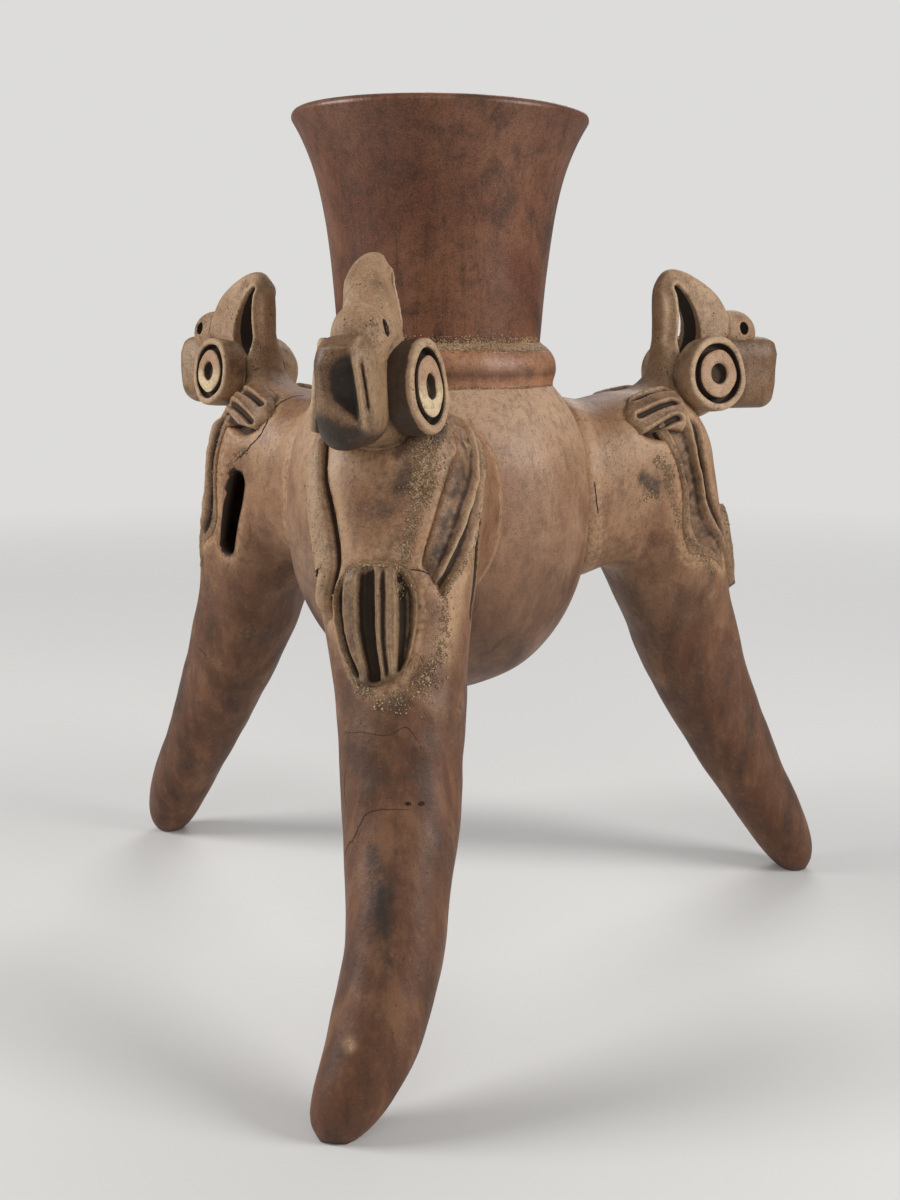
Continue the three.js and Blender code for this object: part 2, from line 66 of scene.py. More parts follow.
class Mark:
    """A value that varies over the clay. Sums and products of marks write themselves as nodes."""

    def __init__(self, tree, socket):
        self.tree = tree
        self.socket = socket

    def node(self, kind, settings=None, inputs=None, out=0):
        return add_node(self.tree, kind, settings, inputs, out)

    def reckon(self, operation, *values):
        return self.node("ShaderNodeMath", {"operation": operation}, dict(enumerate(values)))

    def __add__(self, other):
        return self.reckon("ADD", self, other)

    def __radd__(self, other):
        return self.reckon("ADD", other, self)

    def __sub__(self, other):
        return self.reckon("SUBTRACT", self, other)

    def __rsub__(self, other):
        return self.reckon("SUBTRACT", other, self)

    def __mul__(self, other):
        return self.reckon("MULTIPLY", self, other)

    def __rmul__(self, other):
        return self.reckon("MULTIPLY", other, self)

    def __truediv__(self, other):
        return self.reckon("DIVIDE", self, other)

    def __rtruediv__(self, other):
        return self.reckon("DIVIDE", other, self)

    def __pow__(self, other):
        return self.reckon("POWER", self, other)

    def most(self, other):
        return self.reckon("MAXIMUM", self, other)

    def least(self, other):
        return self.reckon("MINIMUM", self, other)

    def size(self):
        return self.reckon("ABSOLUTE", self)

    def cosine(self):
        return self.reckon("COSINE", self)

    def sine(self):
        return self.reckon("SINE", self)

    def rise(self, low, high):
        """0 below low, 1 above high, and smooth between."""
        return self.node("ShaderNodeMapRange", {"interpolation_type": "SMOOTHSTEP"},
                         {"Value": self, "From Min": low, "From Max": high})


def add_node(tree, kind, settings=None, inputs=None, out=0):
    """One node: its settings first, then the values or links of its sockets. Gives the output
    that is named or numbered."""
    node = tree.nodes.new(kind)
    for key, value in (settings or {}).items():
        setattr(node, key, value)
    for key, value in (inputs or {}).items():
        if isinstance(value, Mark):
            tree.links.new(value.socket, node.inputs[key])
        else:
            node.inputs[key].default_value = value
    return Mark(tree, node.outputs[out]) if len(node.outputs) else None


def shade(red, green, blue):
    """A colour as the eye reads it, 0 to 255, turned to the light it gives."""
    light = [c / 255 for c in (red, green, blue)]
    return (*[c / 12.92 if c < 0.04045 else ((c + 0.055) / 1.055) ** 2.4 for c in light], 1)


def blend_colours(share, first, second):
    """From the first colour to the second, by the share. A Mix node names its colour sockets
    as it names its others, so they go by number."""
    return share.node("ShaderNodeMix", {"data_type": "RGBA"}, {0: share, 6: first, 7: second}, 2)


def bare_tree(owner):
    """The emptied node tree of a material or a world."""
    owner.use_nodes = True
    owner.node_tree.nodes.clear()
    return owner.node_tree


def fired_clay(name, colours, gloss, pits, grain, streak, flecks=0.3, mottle=0.6, cracks=0.0):
    """A fired clay finish. Its colours are body, warm and dark, which mottle it, then deep, the
    soil and painted shade in its hollows, and last the pale tone of its ridges, lighter from wear
    and from a painted highlight. Gloss is its roughness, streak how far its strokes are drawn out,
    and the rest are strengths, cracks being a crackle of fine hairlines."""
    body, warm, dark, deep, worn_and_highlight = [shade(*colour) for colour in colours]
    material = bpy.data.materials.new(name)
    tree = bare_tree(material)
    place = add_node(tree, "ShaderNodeTexCoord", out="Object")

    def cloud(scale, detail=4.0, rough=0.55, where=place, distortion=0.0):
        return add_node(tree, "ShaderNodeTexNoise", None, {
            "Vector": where, "Scale": scale, "Detail": detail, "Roughness": rough, "Distortion": distortion})

    hollow, crust, soot, aged, pale = [
        add_node(tree, "ShaderNodeAttribute", {"attribute_name": word}, out="Fac")
        for word in ("hollow", "crust", "soot", "aged", "pale")]
    broad = cloud(19, 4, 0.6, distortion=0.8)
    patch = cloud(70, 6, 0.68, distortion=0.4)
    blotch = cloud(210, 4, 0.6)
    fleck = cloud(520, 4, 0.7)
    dust = cloud(1700, 3, 0.7)
    stretched = add_node(tree, "ShaderNodeMapping", None, {"Vector": place, "Scale": (1, 1, streak)})
    strokes = cloud(360, 4, 0.65, stretched)
    runs = cloud(95, 5, 0.62, stretched)

    cells = add_node(tree, "ShaderNodeTexVoronoi", {"feature": "F1"}, {"Vector": place, "Scale": 480.0})
    holes = (1 - cells.rise(0.1, 0.22)) * cloud(150, 3).rise(0.5, 0.6) * pits
    swirl = add_node(tree, "ShaderNodeTexNoise", None, {"Vector": place, "Scale": 160.0, "Detail": 3.0}, "Color")
    shift = add_node(tree, "ShaderNodeVectorMath", {"operation": "SCALE"}, {0: swirl, "Scale": 0.006})
    bent = add_node(tree, "ShaderNodeVectorMath", {"operation": "ADD"}, {0: place, 1: shift})
    seams = add_node(tree, "ShaderNodeTexVoronoi", {"feature": "DISTANCE_TO_EDGE"}, {"Vector": bent, "Scale": 62.0})
    hairs = (1 - seams.rise(0.001, 0.006)) * broad.rise(0.55, 0.62) * patch.rise(0.52, 0.62) * cracks

    # Ridges are painted paler: partly wear, partly a painted highlight.
    ridge = (0 - hollow + (blotch - 0.5) * 0.14).rise(0.04, 0.42)
    # Hollows take the deep colour: soil and patina, and painted shade where less light reaches.
    soil_and_shade = (hollow + (patch - 0.5) * 0.4 + (blotch - 0.5) * 0.2).rise(0.05, 0.6)
    sooty = (soot + (patch - 0.5) * 1.2 + (blotch - 0.5) * 0.7).rise(0.3, 0.95) * (soot * 6).least(1)
    crumbs = add_node(tree, "ShaderNodeTexVoronoi", {"feature": "F1"}, {"Vector": place, "Scale": 2400.0}, "Color")
    crumb_tone = add_node(tree, "ShaderNodeSeparateColor", None, {"Color": crumbs})
    crusted = (crust + (patch - 0.5) * 0.8 + (fleck - 0.5) * 1.2 + (dust - 0.5)).rise(0.5, 0.72)
    crusted = crusted * (crust * 6).least(1)
    lime = blend_colours(crumb_tone.rise(0.1, 0.9), shade(104, 80, 57), shade(186, 158, 122))

    colour = body
    for share, tint in (
            (broad.rise(0.36, 0.62), warm),
            ((aged + (patch - 0.5) * 0.9 * (aged * 3).least(1)).rise(0.08, 0.95), dark),
            (patch.rise(0.44, 0.7) * mottle, dark),
            # Pale marks take the pale tone; on some crests it is a painted highlight.
            (pale * (patch * 0.8 + 0.6), worn_and_highlight),
            (blotch.rise(0.52, 0.7) * 0.35, dark),
            ((1 - blotch).rise(0.52, 0.74) * 0.3, warm),
            (strokes.rise(0.48, 0.68) * 0.4, dark),
            (fleck.rise(0.56, 0.7) * flecks, worn_and_highlight),
            ((1 - runs).rise(0.5, 0.66) * aged * 0.6, warm),
            (runs.rise(0.5, 0.66) * aged * 0.6, deep),
            ((1 - dust).rise(0.5, 0.64) * (1 - aged) * 0.2, worn_and_highlight),
            ((dust * 0.6 + fleck * 0.4).rise(0.5, 0.62) * 0.55, dark),
            (holes * 0.85, deep),
            (hairs, deep),
            (ridge * fleck.rise(0.3, 0.66) * 0.6, worn_and_highlight),
            (soil_and_shade * 0.93, deep),
            # Soot stains, and painted shade on some pieces, take a near-black brown.
            (sooty * 0.88, shade(36, 28, 22)),
            (crusted * 0.8, lime)):
        colour = blend_colours(share, colour, tint)

    roughness = gloss + (patch - 0.5) * 0.3 + soil_and_shade * 0.22 + crusted * 0.3 + holes * 0.2 + (dust - 0.5) * 0.14
    height = dust * (0.06 * grain) + fleck * (0.17 * grain) + blotch * (0.2 * grain) + strokes * 0.12
    height = height + patch * 0.35 - holes * 0.35 - hairs * 0.3 + crusted * (0.3 + crumb_tone * 0.45)
    bump = add_node(tree, "ShaderNodeBump", None, {"Strength": 1.0, "Distance": 0.0009, "Height": height})
    surface = add_node(tree, "ShaderNodeBsdfPrincipled", None, {
        "Base Color": colour, "Roughness": roughness, "Normal": bump, "Specular IOR Level": 0.36})
    add_node(tree, "ShaderNodeOutputMaterial", None, {"Surface": surface})
    return material


def linked(name, data):
    """A new object in the scene."""
    thing = bpy.data.objects.new(name, data)
    bpy.context.scene.collection.objects.link(thing)
    return thing


def settle(thing, modifier):
    """Makes what a modifier gives the thing's own plain mesh."""
    made = bpy.data.meshes.new_from_object(thing.evaluated_get(bpy.context.evaluated_depsgraph_get()))
    thing.modifiers.remove(modifier)
    thing.data = made


def skin_mesh(name, points, faces):
    """A mesh from points in millimetres about the vessel's axis. A face of three points ends in -1."""
    mesh = bpy.data.meshes.new(name)
    points = np.asarray(points, float) * MM + (AXIS.x, AXIS.y, 0)
    faces = np.asarray(faces, np.int32)
    corners = (faces >= 0).sum(1)
    mesh.vertices.add(len(points))
    mesh.loops.add(int(corners.sum()))
    mesh.polygons.add(len(faces))
    mesh.vertices.foreach_set("co", points.astype(np.float32).ravel())
    mesh.loops.foreach_set("vertex_index", faces[faces >= 0])
    mesh.polygons.foreach_set("loop_start", np.concatenate([[0], np.cumsum(corners)[:-1]]).astype(np.int32))
    mesh.update(calc_edges=True)
    mesh.polygons.foreach_set("use_smooth", np.ones(len(faces), bool))
    return linked(name, mesh)


def piece(name, points, faces, material, slot, *nodes, body="jar", knife=None, **marks):
    """A finished piece: its points and faces, its clay, and the CAD nodes that it stands for.
    Marks are values on its points, such as how hollow they lie. A knife cuts a hole, whose walls
    are painted dark as shade."""
    thing = skin_mesh(name, points, faces)
    if knife:
        marks["skin"] = np.ones(len(points))
    for key, values in marks.items():
        attribute = thing.data.attributes.new(key, "FLOAT", "POINT")
        attribute.data.foreach_set("value", np.asarray(values, np.float32))
    thing.data.materials.append(material)
    if knife:
        blade = skin_mesh("blade", *knife)
        cut = thing.modifiers.new("cut", "BOOLEAN")
        cut.operation, cut.solver, cut.object = "DIFFERENCE", "EXACT", blade
        settle(thing, cut)
        kept, depth = [np.empty(len(thing.data.vertices), np.float32) for _ in range(2)]
        thing.data.attributes["skin"].data.foreach_get("value", kept)
        hollow = thing.data.attributes["hollow"].data
        hollow.foreach_get("value", depth)
        hollow.foreach_set("value", np.where(kept < 0.5, CUT_SHADE, depth).astype(np.float32))
        bpy.data.objects.remove(blade)
    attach(thing, body)
    if nodes:
        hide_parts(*nodes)
    return thing


def smooth_between(before, start, end, after, f):
    """The share f of a smooth way from start to end, led by the places before and after."""
    return 0.5 * (2 * start + (end - before) * f + (2 * before - 5 * start + 4 * end - after) * f ** 2
                  + (3 * start - before - 3 * end + after) * f ** 3)


def rounded_line(controls, count, closed=False):
    """A smooth line through the controls."""
    controls = np.asarray(controls, float)
    n = len(controls)
    spans = n if closed else n - 1
    t = np.linspace(0, spans, count, endpoint=not closed)
    low = np.minimum(t.astype(int), spans - 1)
    f = (t - low)[:, None]
    pick = (lambda k: controls[(low + k) % n]) if closed else (lambda k: controls[np.clip(low + k, 0, n - 1)])
    return smooth_between(pick(-1), pick(0), pick(1), pick(2), f)


def bowl_outline(count):
    """The bowl's outer side, as radii and heights."""
    shares = rounded_line(BOWL_OUTLINE, count)
    return np.stack([shares[:, 0] * BOWL_RADIUS, BOWL_LOW + (BOWL_HIGH - BOWL_LOW) * shares[:, 1]], 1)


def thrown(outline, segments, poles=False):
    """Points and faces of a [radius, height] outline turned about the upright axis. The outline
    is a closed ring, or it runs from pole to pole."""
    turns = np.linspace(0, 2 * math.pi, segments, endpoint=False)
    outline = np.asarray(outline, float)
    rings = np.stack([
        outline[:, 0][:, None] * np.cos(turns), outline[:, 0][:, None] * np.sin(turns),
        np.repeat(outline[:, 1][:, None], segments, 1)], 2)
    return lofted(rings, poles)


def lofted(rings, poles=True):
    """Points and outward faces of a closed skin over rings of points. It ends in two poles, or
    its last ring joins its first."""
    rows, columns = rings.shape[:2]
    points = rings.reshape(-1, 3)
    i, j = np.meshgrid(np.arange(rows - 1 if poles else rows), np.arange(columns), indexing="ij")
    row, after, onward = i * columns, (i + 1) % rows * columns, (j + 1) % columns
    faces = np.stack([row + j, row + onward, after + onward, after + j], 2).reshape(-1, 4)
    if poles:
        points = np.concatenate([points, [rings[0].mean(0), rings[-1].mean(0)]])
        j = np.arange(columns)
        onward = (j + 1) % columns
        last = (rows - 1) * columns
        pole, none = np.full(columns, rows * columns), np.full(columns, -1)
        first = np.stack([pole, onward, j, none], 1)
        end = np.stack([pole + 1, last + j, last + onward, none], 1)
        faces = np.concatenate([faces, first, end])
    corners = points[np.where(faces < 0, faces[:, [2]], faces)] - points.mean(0)
    a, b, c, d = (corners[:, k] for k in range(4))
    if (a * np.cross(b, c)).sum() + (a * np.cross(c, d)).sum() < 0:
        faces = np.where(faces[:, 3:] < 0, faces[:, [2, 1, 0, 3]], faces[:, ::-1])
    return points, faces


def waves(points, size, seed):
    """A slow, seeded unevenness from -1 to 1, with swells about as long as the size."""
    random = np.random.default_rng(seed)
    total = np.zeros(points.shape[:-1])
    for _ in range(9):
        way = random.normal(size=3)
        way /= np.linalg.norm(way)
        total += np.sin(points @ way * (2 * math.pi / size) * random.uniform(0.6, 1.5) + random.uniform(0, 6.3))
    return total / 4


def outwards(points):
    """The level way from the vessel's axis to each point."""
    level = points * (1, 1, 0)
    return level / np.maximum(np.linalg.norm(level, axis=1, keepdims=True), 1e-6)


outer = bowl_outline(110)
run = np.gradient(outer, axis=0)
run /= np.linalg.norm(run, axis=1, keepdims=True)
inner = outer + BOWL_WALL * np.stack([-run[:, 1], run[:, 0]], 1)
inner = inner[(inner[:, 1] < BOWL_HIGH - BOWL_WALL) & (inner[:, 0] > 0.5)]
outer = outer[outer[:, 0] > 0.5]
MOUTH_RADIUS = NECK_RADIUS - NECK_WALL
mouth = [(NECK_RADIUS - 1, BOWL_HIGH - 0.2), (MOUTH_RADIUS, BOWL_HIGH - 0.2), (MOUTH_RADIUS - 0.4, BOWL_HIGH - 3),
         (MOUTH_RADIUS + 0.6, BOWL_HIGH - BOWL_WALL)]
points, faces = thrown([*outer, *mouth, *inner[::-1]], 220, poles=True)
points = points + outwards(points) * (waves(points, 46, 3) * 0.35)[:, None]
bowl_clay = fired_clay(
    "bowl_clay", [(166, 130, 101), (142, 104, 77), (98, 68, 49), (46, 32, 24), (196, 164, 134)],
    gloss=0.48, pits=0.3, grain=0.7, streak=0.3, flecks=0.12, mottle=0.5, cracks=0.3)
# The bowl is darker towards the bottom and paler towards the top.
piece("bowl_body", points, faces, bowl_clay, "bowl_clay", "bowl",
      aged=0.95 * np.clip((BOWL_DARK_BELOW - points[:, 2]) / 75, 0, 1),
      pale=0.6 * np.clip((points[:, 2] - BOWL_PALE_ABOVE) / 22, 0, 1))

# Neck: a tube of the same clay, luted onto the bowl's mouth and pulled outwards to a rounded,
# everted lip. It was slipped red and burnished with upright strokes. The flare follows one rule.
NECK_FOOT = BOWL_HIGH + 0.3
NECK_TOP = 338.7
RIM_RADIUS = 59.2
FLARE_STRAIGHT = 0.4
FLARE_POWER = 4.25
WALL_SHARE = 0.46
CRUSTED_WAY = (0.75, -0.35)


def grown(name, tree, values, slot, *nodes, seats=()):
    """What a node tree makes, as a plain mesh about the origin, with its named values set. Seats
    are points that the tree starts from, in millimetres about the vessel's axis."""
    start = bpy.data.meshes.new(name)
    start.from_pydata([tuple(seat * MM + (AXIS.x, AXIS.y, 0)) for seat in seats], [], [])
    thing = linked(name, start)
    maker = thing.modifiers.new(name, "NODES")
    maker.node_group = tree
    for item in tree.interface.items_tree:
        if item.in_out == "INPUT" and item.name in values:
            maker[item.identifier] = values[item.name]
    settle(thing, maker)
    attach(thing, "jar")
    if nodes:
        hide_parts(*nodes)
    return thing


def tree_with(name, **sizes):
    """A node tree with its named sizes. Gives the tree and each size as a mark."""
    tree = bpy.data.node_groups.new(name, "GeometryNodeTree")
    tree.interface.new_socket("Geometry", in_out="OUTPUT", socket_type="NodeSocketGeometry")
    tree.interface.new_socket("seats", in_out="INPUT", socket_type="NodeSocketGeometry")
    for label, value in sizes.items():
        kind = "NodeSocketInt" if isinstance(value, int) else "NodeSocketFloat"
        tree.interface.new_socket(label, in_out="INPUT", socket_type=kind).default_value = value
    group = tree.nodes.new("NodeGroupInput")
    return tree, {label: Mark(tree, group.outputs[label]) for label in ("seats", *sizes)}


def hand_over(tree, geometry, material):
    """Ends a tree: real mesh, smooth faces and its clay."""
    real = add_node(tree, "GeometryNodeRealizeInstances", None, {"Geometry": geometry})
    smooth = add_node(tree, "GeometryNodeSetShadeSmooth", None, {"Geometry": real})
    clad = add_node(tree, "GeometryNodeSetMaterial", None, {"Geometry": smooth, "Material": material})
    add_node(tree, "NodeGroupOutput", None, {"Geometry": clad})


def neck_tree(material, sizes):
    """The neck's wall: a grid bent into a closed section, out along one side of the wall and
    back along the other, and turned about the vessel's axis."""
    tree, size = tree_with("neck", **sizes)
    grid = add_node(tree, "GeometryNodeMeshGrid", None, {
        "Size X": 1.0, "Size Y": 1.0, "Vertices X": size["around"], "Vertices Y": size["along"]})
    spot = add_node(tree, "GeometryNodeInputPosition")
    across, up = [add_node(tree, "ShaderNodeSeparateXYZ", None, {"Vector": spot}, axis) for axis in "XY"]
    turn = (across + 0.5) * (2 * math.pi)
    east, north = turn.cosine(), turn.sine()
    s = up + 0.5
    rest = (1 - 2 * WALL_SHARE) / 2
    climb = (s.least(1 - rest - s) / WALL_SHARE).most(0).least(1)
    fold = (((s - WALL_SHARE) / rest).most(0).least(1) + ((s - 1 + rest) / rest).most(0).least(1)) * math.pi
    flare = (climb * (1 + size["straight"]) - size["straight"]).most(0)
    open_share = flare * FLARE_STRAIGHT + flare ** FLARE_POWER * (1 - FLARE_STRAIGHT)
    steep = flare ** (FLARE_POWER - 1) * ((1 - FLARE_STRAIGHT) * FLARE_POWER) + FLARE_STRAIGHT
    steep = steep * (flare * 1000).least(1)
    spread = size["rim_radius"] - size["foot_radius"]
    tall = size["top"] - size["foot"] - size["wall"] / 2
    middle = size["foot_radius"] - size["wall"] / 2 + open_share * spread
    out = spread * steep * (1 + size["straight"])
    length = (out * out + tall * tall) ** 0.5
    cosine, sine = fold.cosine() * size["wall"] / 2, fold.sine() * size["wall"] / 2
    radius = middle + (cosine * tall + sine * out) / length
    level = size["foot"] + climb * tall + (sine * tall - cosine * out) / length
    cloud = add_node(tree, "ShaderNodeTexNoise", {"noise_dimensions": "4D"}, {
        "Vector": add_node(tree, "ShaderNodeCombineXYZ", None, {"X": east, "Y": north, "Z": climb * 1.6}),
        "W": size["seed"], "Scale": 1.9, "Detail": 2.0})
    radius = radius + (cloud - 0.5) * size["uneven"] * 2
    lean = (level - size["foot"]) * size["lean"]
    place = add_node(tree, "ShaderNodeCombineXYZ", None, {
        "X": east * radius + lean + AXIS.x, "Y": north * radius + AXIS.y, "Z": level - lean * east})
    shaped = add_node(tree, "GeometryNodeSetPosition", None, {"Geometry": grid, "Position": place})
    closed = add_node(tree, "GeometryNodeMergeByDistance", None, {"Geometry": shaped, "Distance": 1e-6})
    near_ring = 1 - (level - size["crust_at"]).size().rise(0.0012, 0.0065)
    side = (east * CRUSTED_WAY[0] + north * CRUSTED_WAY[1]).rise(-0.6, 0.5)
    marked = add_node(tree, "GeometryNodeStoreNamedAttribute", {"data_type": "FLOAT", "domain": "POINT"}, {
        "Geometry": closed, "Name": "crust", "Value": near_ring * (0.35 + side * 0.65)})
    hand_over(tree, marked, material)
    return tree


neck_slip = fired_clay(
    "neck_slip", [(122, 80, 57), (98, 57, 38), (54, 33, 23), (32, 23, 18), (160, 118, 90)],
    gloss=0.36, pits=0.2, grain=0.4, streak=0.1, flecks=0.08, mottle=0.75)
neck_maker = neck_tree(neck_slip, dict(
    around=240, along=260, foot_radius=NECK_RADIUS * MM, rim_radius=RIM_RADIUS * MM, foot=NECK_FOOT * MM,
    top=NECK_TOP * MM, wall=NECK_WALL * MM, straight=0.188, uneven=0.0005, lean=0.008, crust_at=0.2505, seed=7.0))
grown("neck_flare", neck_maker, {}, "neck_slip", "neck")

# Collar ring: a thick coil pressed round the foot of the neck, its own foot sunk a little into
# the bowl's shoulder. Its joint with the neck is full of pale lime crust from the ground.
RING_IN = NECK_RADIUS - 1.2
RING_LOW = BOWL_HIGH + 0.3
RING_HEIGHT = 17.0
RING_TOP = RING_LOW + RING_HEIGHT
RING_PROUD = 6.8
RING_EVEN_ABOVE = 246
RING_CRUST_FROM = 244
RING_DARK_BAND = (234, 243)
GRAIN_COUNT = 9000
GRAINS_BELOW = 257
collar_clay = fired_clay(
    "collar_clay", [(162, 114, 82), (146, 94, 64), (88, 58, 42), (44, 32, 24), (200, 164, 130)],
    gloss=0.42, pits=0.3, grain=0.6, streak=1.0, flecks=0.15, mottle=0.6)
ring_outline = rounded_line(
    [(0.0, -0.1), (0.8, -0.1), (0.87, -0.06), (0.84, 0.03), (0.86, 0.12), (0.93, 0.22), (0.99, 0.33), (1.0, 0.43),
     (0.94, 0.59), (0.73, 0.77), (0.42, 0.9), (0.12, 0.98), (0.0, 1.0)], 90)
ring_outline = [(NECK_RADIUS + RING_PROUD * r, RING_LOW + RING_HEIGHT * z) for r, z in ring_outline]
points, faces = thrown([*ring_outline, (RING_IN, RING_TOP - 1), (RING_IN, RING_LOW + 1)], 240)
way = outwards(points)
height = points[:, 2]
uneven = (waves(points, 30, 11) * 0.3 + waves(points, 9, 12) * 0.1) * (height < RING_EVEN_ABOVE)
points = points + way * uneven[:, None]
facing = way[:, 0] * CRUSTED_WAY[0] + way[:, 1] * CRUSTED_WAY[1]
# The coil is darker in a band round its lower part.
piece("collar_coil", points, faces, collar_clay, "neck_slip", "collar_ring",
      crust=np.maximum(0.85 * np.clip((height - RING_CRUST_FROM) / 3.5, 0, 1) * np.clip(0.5 + 0.7 * facing, 0, 1),
                       0.75 * np.clip(1 - np.abs(height - RING_LOW + 0.2) / 1.6, 0, 1)),
      aged=0.7 * np.clip((RING_DARK_BAND[1] - height) / 6, 0, 1) * np.clip((height - RING_DARK_BAND[0]) / 3, 0, 1))


def crumb_tree(material, sizes):
    """Loose grains, each turned and sized at random, one on every seat."""
    tree, size = tree_with("crumbs", **sizes)
    ball = add_node(tree, "GeometryNodeMeshIcoSphere", None, {"Radius": size["grain"], "Subdivisions": 1})
    scale, turned = [add_node(tree, "FunctionNodeRandomValue", {"data_type": "FLOAT_VECTOR"}, {
        0: low, 1: high, "Seed": size["seed"] + step}) for step, low, high in (
            (0, (0.35, 0.35, 0.3), (1.5, 1.2, 0.9)), (1, (0, 0, 0), (2 * math.pi,) * 3))]
    grains = add_node(tree, "GeometryNodeInstanceOnPoints", None, {
        "Points": size["seats"], "Instance": ball, "Rotation": turned, "Scale": scale})
    hand_over(tree, grains, material)
    return tree


lime_crust = fired_clay(
    "lime_crust", [(194, 168, 132), (168, 136, 100), (112, 86, 60), (54, 42, 30), (216, 194, 158)],
    gloss=0.8, pits=0.3, grain=1.4, streak=1.0)
crumb_maker = crumb_tree(lime_crust, dict(grain=0.0004, seed=5))
random = np.random.default_rng(31)
turns = random.uniform(0, 2 * math.pi, GRAIN_COUNT)
level = RING_TOP - 3.0 + random.gamma(3.0, 0.75, GRAIN_COUNT)
near = np.clip(0.42 + 0.6 * np.cos(turns) - 0.25 * np.sin(turns), 0.06, 1)
radius = NECK_RADIUS + np.where(level > RING_TOP, 0.12 + (level - 249) * 0.07, 0.2 + (RING_TOP - level) * 1.25)
seats = np.stack([radius * np.cos(turns), radius * np.sin(turns), level], 1)
grown("collar_crust_grains", crumb_maker, {"grain": 0.0003}, "neck_slip",
      seats=seats[(random.random(GRAIN_COUNT) < near) & (level < GRAINS_BELOW)])

# Legs: three hollow rattle legs of smoothed brown clay, bent like a knee and drawn out to a worn
# foot. Each was built round loose pellets, slit once to sound, and luted onto the bowl's side.
LEG_STATIONS = np.array([
    [-0.21, 0.82, 0, 1.01, 1.02, 2.3, 0], [-0.02, 0.822, 0, 1.0, 1.0, 2.4, 0],
    [0.125, 0.834, 6.8, 1.06, 0.96, 2.6, 0.08], [0.235, 0.829, 17.9, 1.13, 0.92, 2.7, 0.16],
    [0.305, 0.793, 28.8, 1.07, 0.91, 2.6, 0.22], [0.344, 0.74, 36.4, 0.955, 0.87, 2.5, 0.27],
    [0.376, 0.683, 41.8, 0.85, 0.82, 2.4, 0.36], [0.415, 0.616, 47.5, 0.755, 0.755, 2.3, 0.5],
    [0.46, 0.54, 56, 0.68, 0.7, 2.2, 0.66], [0.535, 0.441, 63, 0.595, 0.65, 2.1, 0.78],
    [0.65, 0.328, 60, 0.525, 0.58, 2, 0.95], [0.765, 0.223, 57.4, 0.455, 0.52, 2, 1],
    [0.885, 0.12, 58.4, 0.395, 0.49, 2, 0.74], [0.955, 0.056, 58.5, 0.33, 0.42, 2, 0.36],
    [0.99, 0.02, 58.5, 0.24, 0.32, 2, 0.12], [1.01, -0.004, 58.5, 0.11, 0.16, 2, 0]])
LEG_END = len(LEG_STATIONS) - 1
SHOULDER = 229.0
LEG_HALF_DEPTH = 36.0
LEG_HALF_WIDTH = 32.0
LEG_WALL = 6.0
LEG_AROUND = 176
LEG_DOWN = 236
CHAMBER_END = 9.7
CHAMBER_DOWN = 60
SLIT_WIDTH = 10.5
SLIT_LENGTH = 41.0
SLIT_ALONG = 4.1
SLIT_BACK = 0.2
LEGS = {
    "front": dict(azimuth=-90, reach=183.0, bow=13.0, seed=21),
    "right": dict(azimuth=30, reach=183.0, bow=3.0, seed=22),
    "left": dict(azimuth=150, reach=185.0, bow=3.0, seed=23),
}


def point_normals(points, faces):
    """The outward direction at each point."""
    faces = np.where(faces < 0, faces[:, [2]], faces)
    across = np.cross(points[faces[:, 2]] - points[faces[:, 0]], points[faces[:, 3]] - points[faces[:, 1]])
    total = np.zeros_like(points)
    for k in range(4):
        for axis in range(3):
            total[:, axis] += np.bincount(faces[:, k], across[:, axis], len(points))
    return total / np.maximum(np.linalg.norm(total, axis=1, keepdims=True), 1e-9)


def relaxed(points, faces, steps):
    """The points drawn towards their neighbours, step by step."""
    faces = np.where(faces < 0, faces[:, [2]], faces)
    first = faces.ravel()
    second = np.roll(faces, -1, axis=1).ravel()
    ends = np.concatenate([first, second])
    others = np.concatenate([second, first])
    count = np.maximum(np.bincount(ends, minlength=len(points)), 1)[:, None]
    moved = points.copy()
    for _ in range(steps):
        total = np.stack([np.bincount(ends, moved[others, axis], len(points)) for axis in range(3)], 1)
        moved = (moved + total / count) / 2
    return moved


def hollowness(points, faces, steps):
    """How far each point lies in a hollow, in millimetres; on a ridge it is below 0."""
    return ((relaxed(points, faces, steps) - points) * point_normals(points, faces)).sum(1)


def stations(along):
    """The leg's measures at places along it, smoothly between the stations: how far out and how
    high its middle line runs, the lean, half-depth, half-width and squareness of its section, and
    its share of the bow sideways."""
    low = np.clip(along.astype(int), 0, LEG_END - 1)
    near = [LEG_STATIONS[np.clip(low + k, 0, LEG_END)] for k in (-1, 0, 1, 2)]
    return smooth_between(*near, (along - low)[..., None])


def on_leg(leg, along, turn, thinner=0.0):
    """Points of the leg's surface, in its own outward, sideways and upward millimetres."""
    along, turn = np.broadcast_arrays(np.asarray(along, float), np.asarray(turn, float))
    out, up, lean, depth, width, square, bent = np.moveaxis(stations(along), -1, 0)
    lean = np.radians(lean)
    power = 2 / square
    over = np.sign(np.cos(turn)) * np.abs(np.cos(turn)) ** power * (depth * LEG_HALF_DEPTH - thinner)
    aside = np.sign(np.sin(turn)) * np.abs(np.sin(turn)) ** power * (width * LEG_HALF_WIDTH - thinner)
    r = BOWL_RADIUS + (leg["reach"] - BOWL_RADIUS) * out + over * np.sin(lean)
    return np.stack([r, leg["bow"] * bent + aside, SHOULDER * up + over * np.cos(lean)], -1)


def leg_way(leg, along, turn):
    """The way straight out of the leg's surface."""
    step = 0.02
    here = on_leg(leg, along, turn)
    further = on_leg(leg, np.asarray(along) + step, turn) - here
    round_it = on_leg(leg, along, np.asarray(turn) + step) - here
    way = np.cross(further, round_it)
    return way / np.linalg.norm(way, axis=-1, keepdims=True)


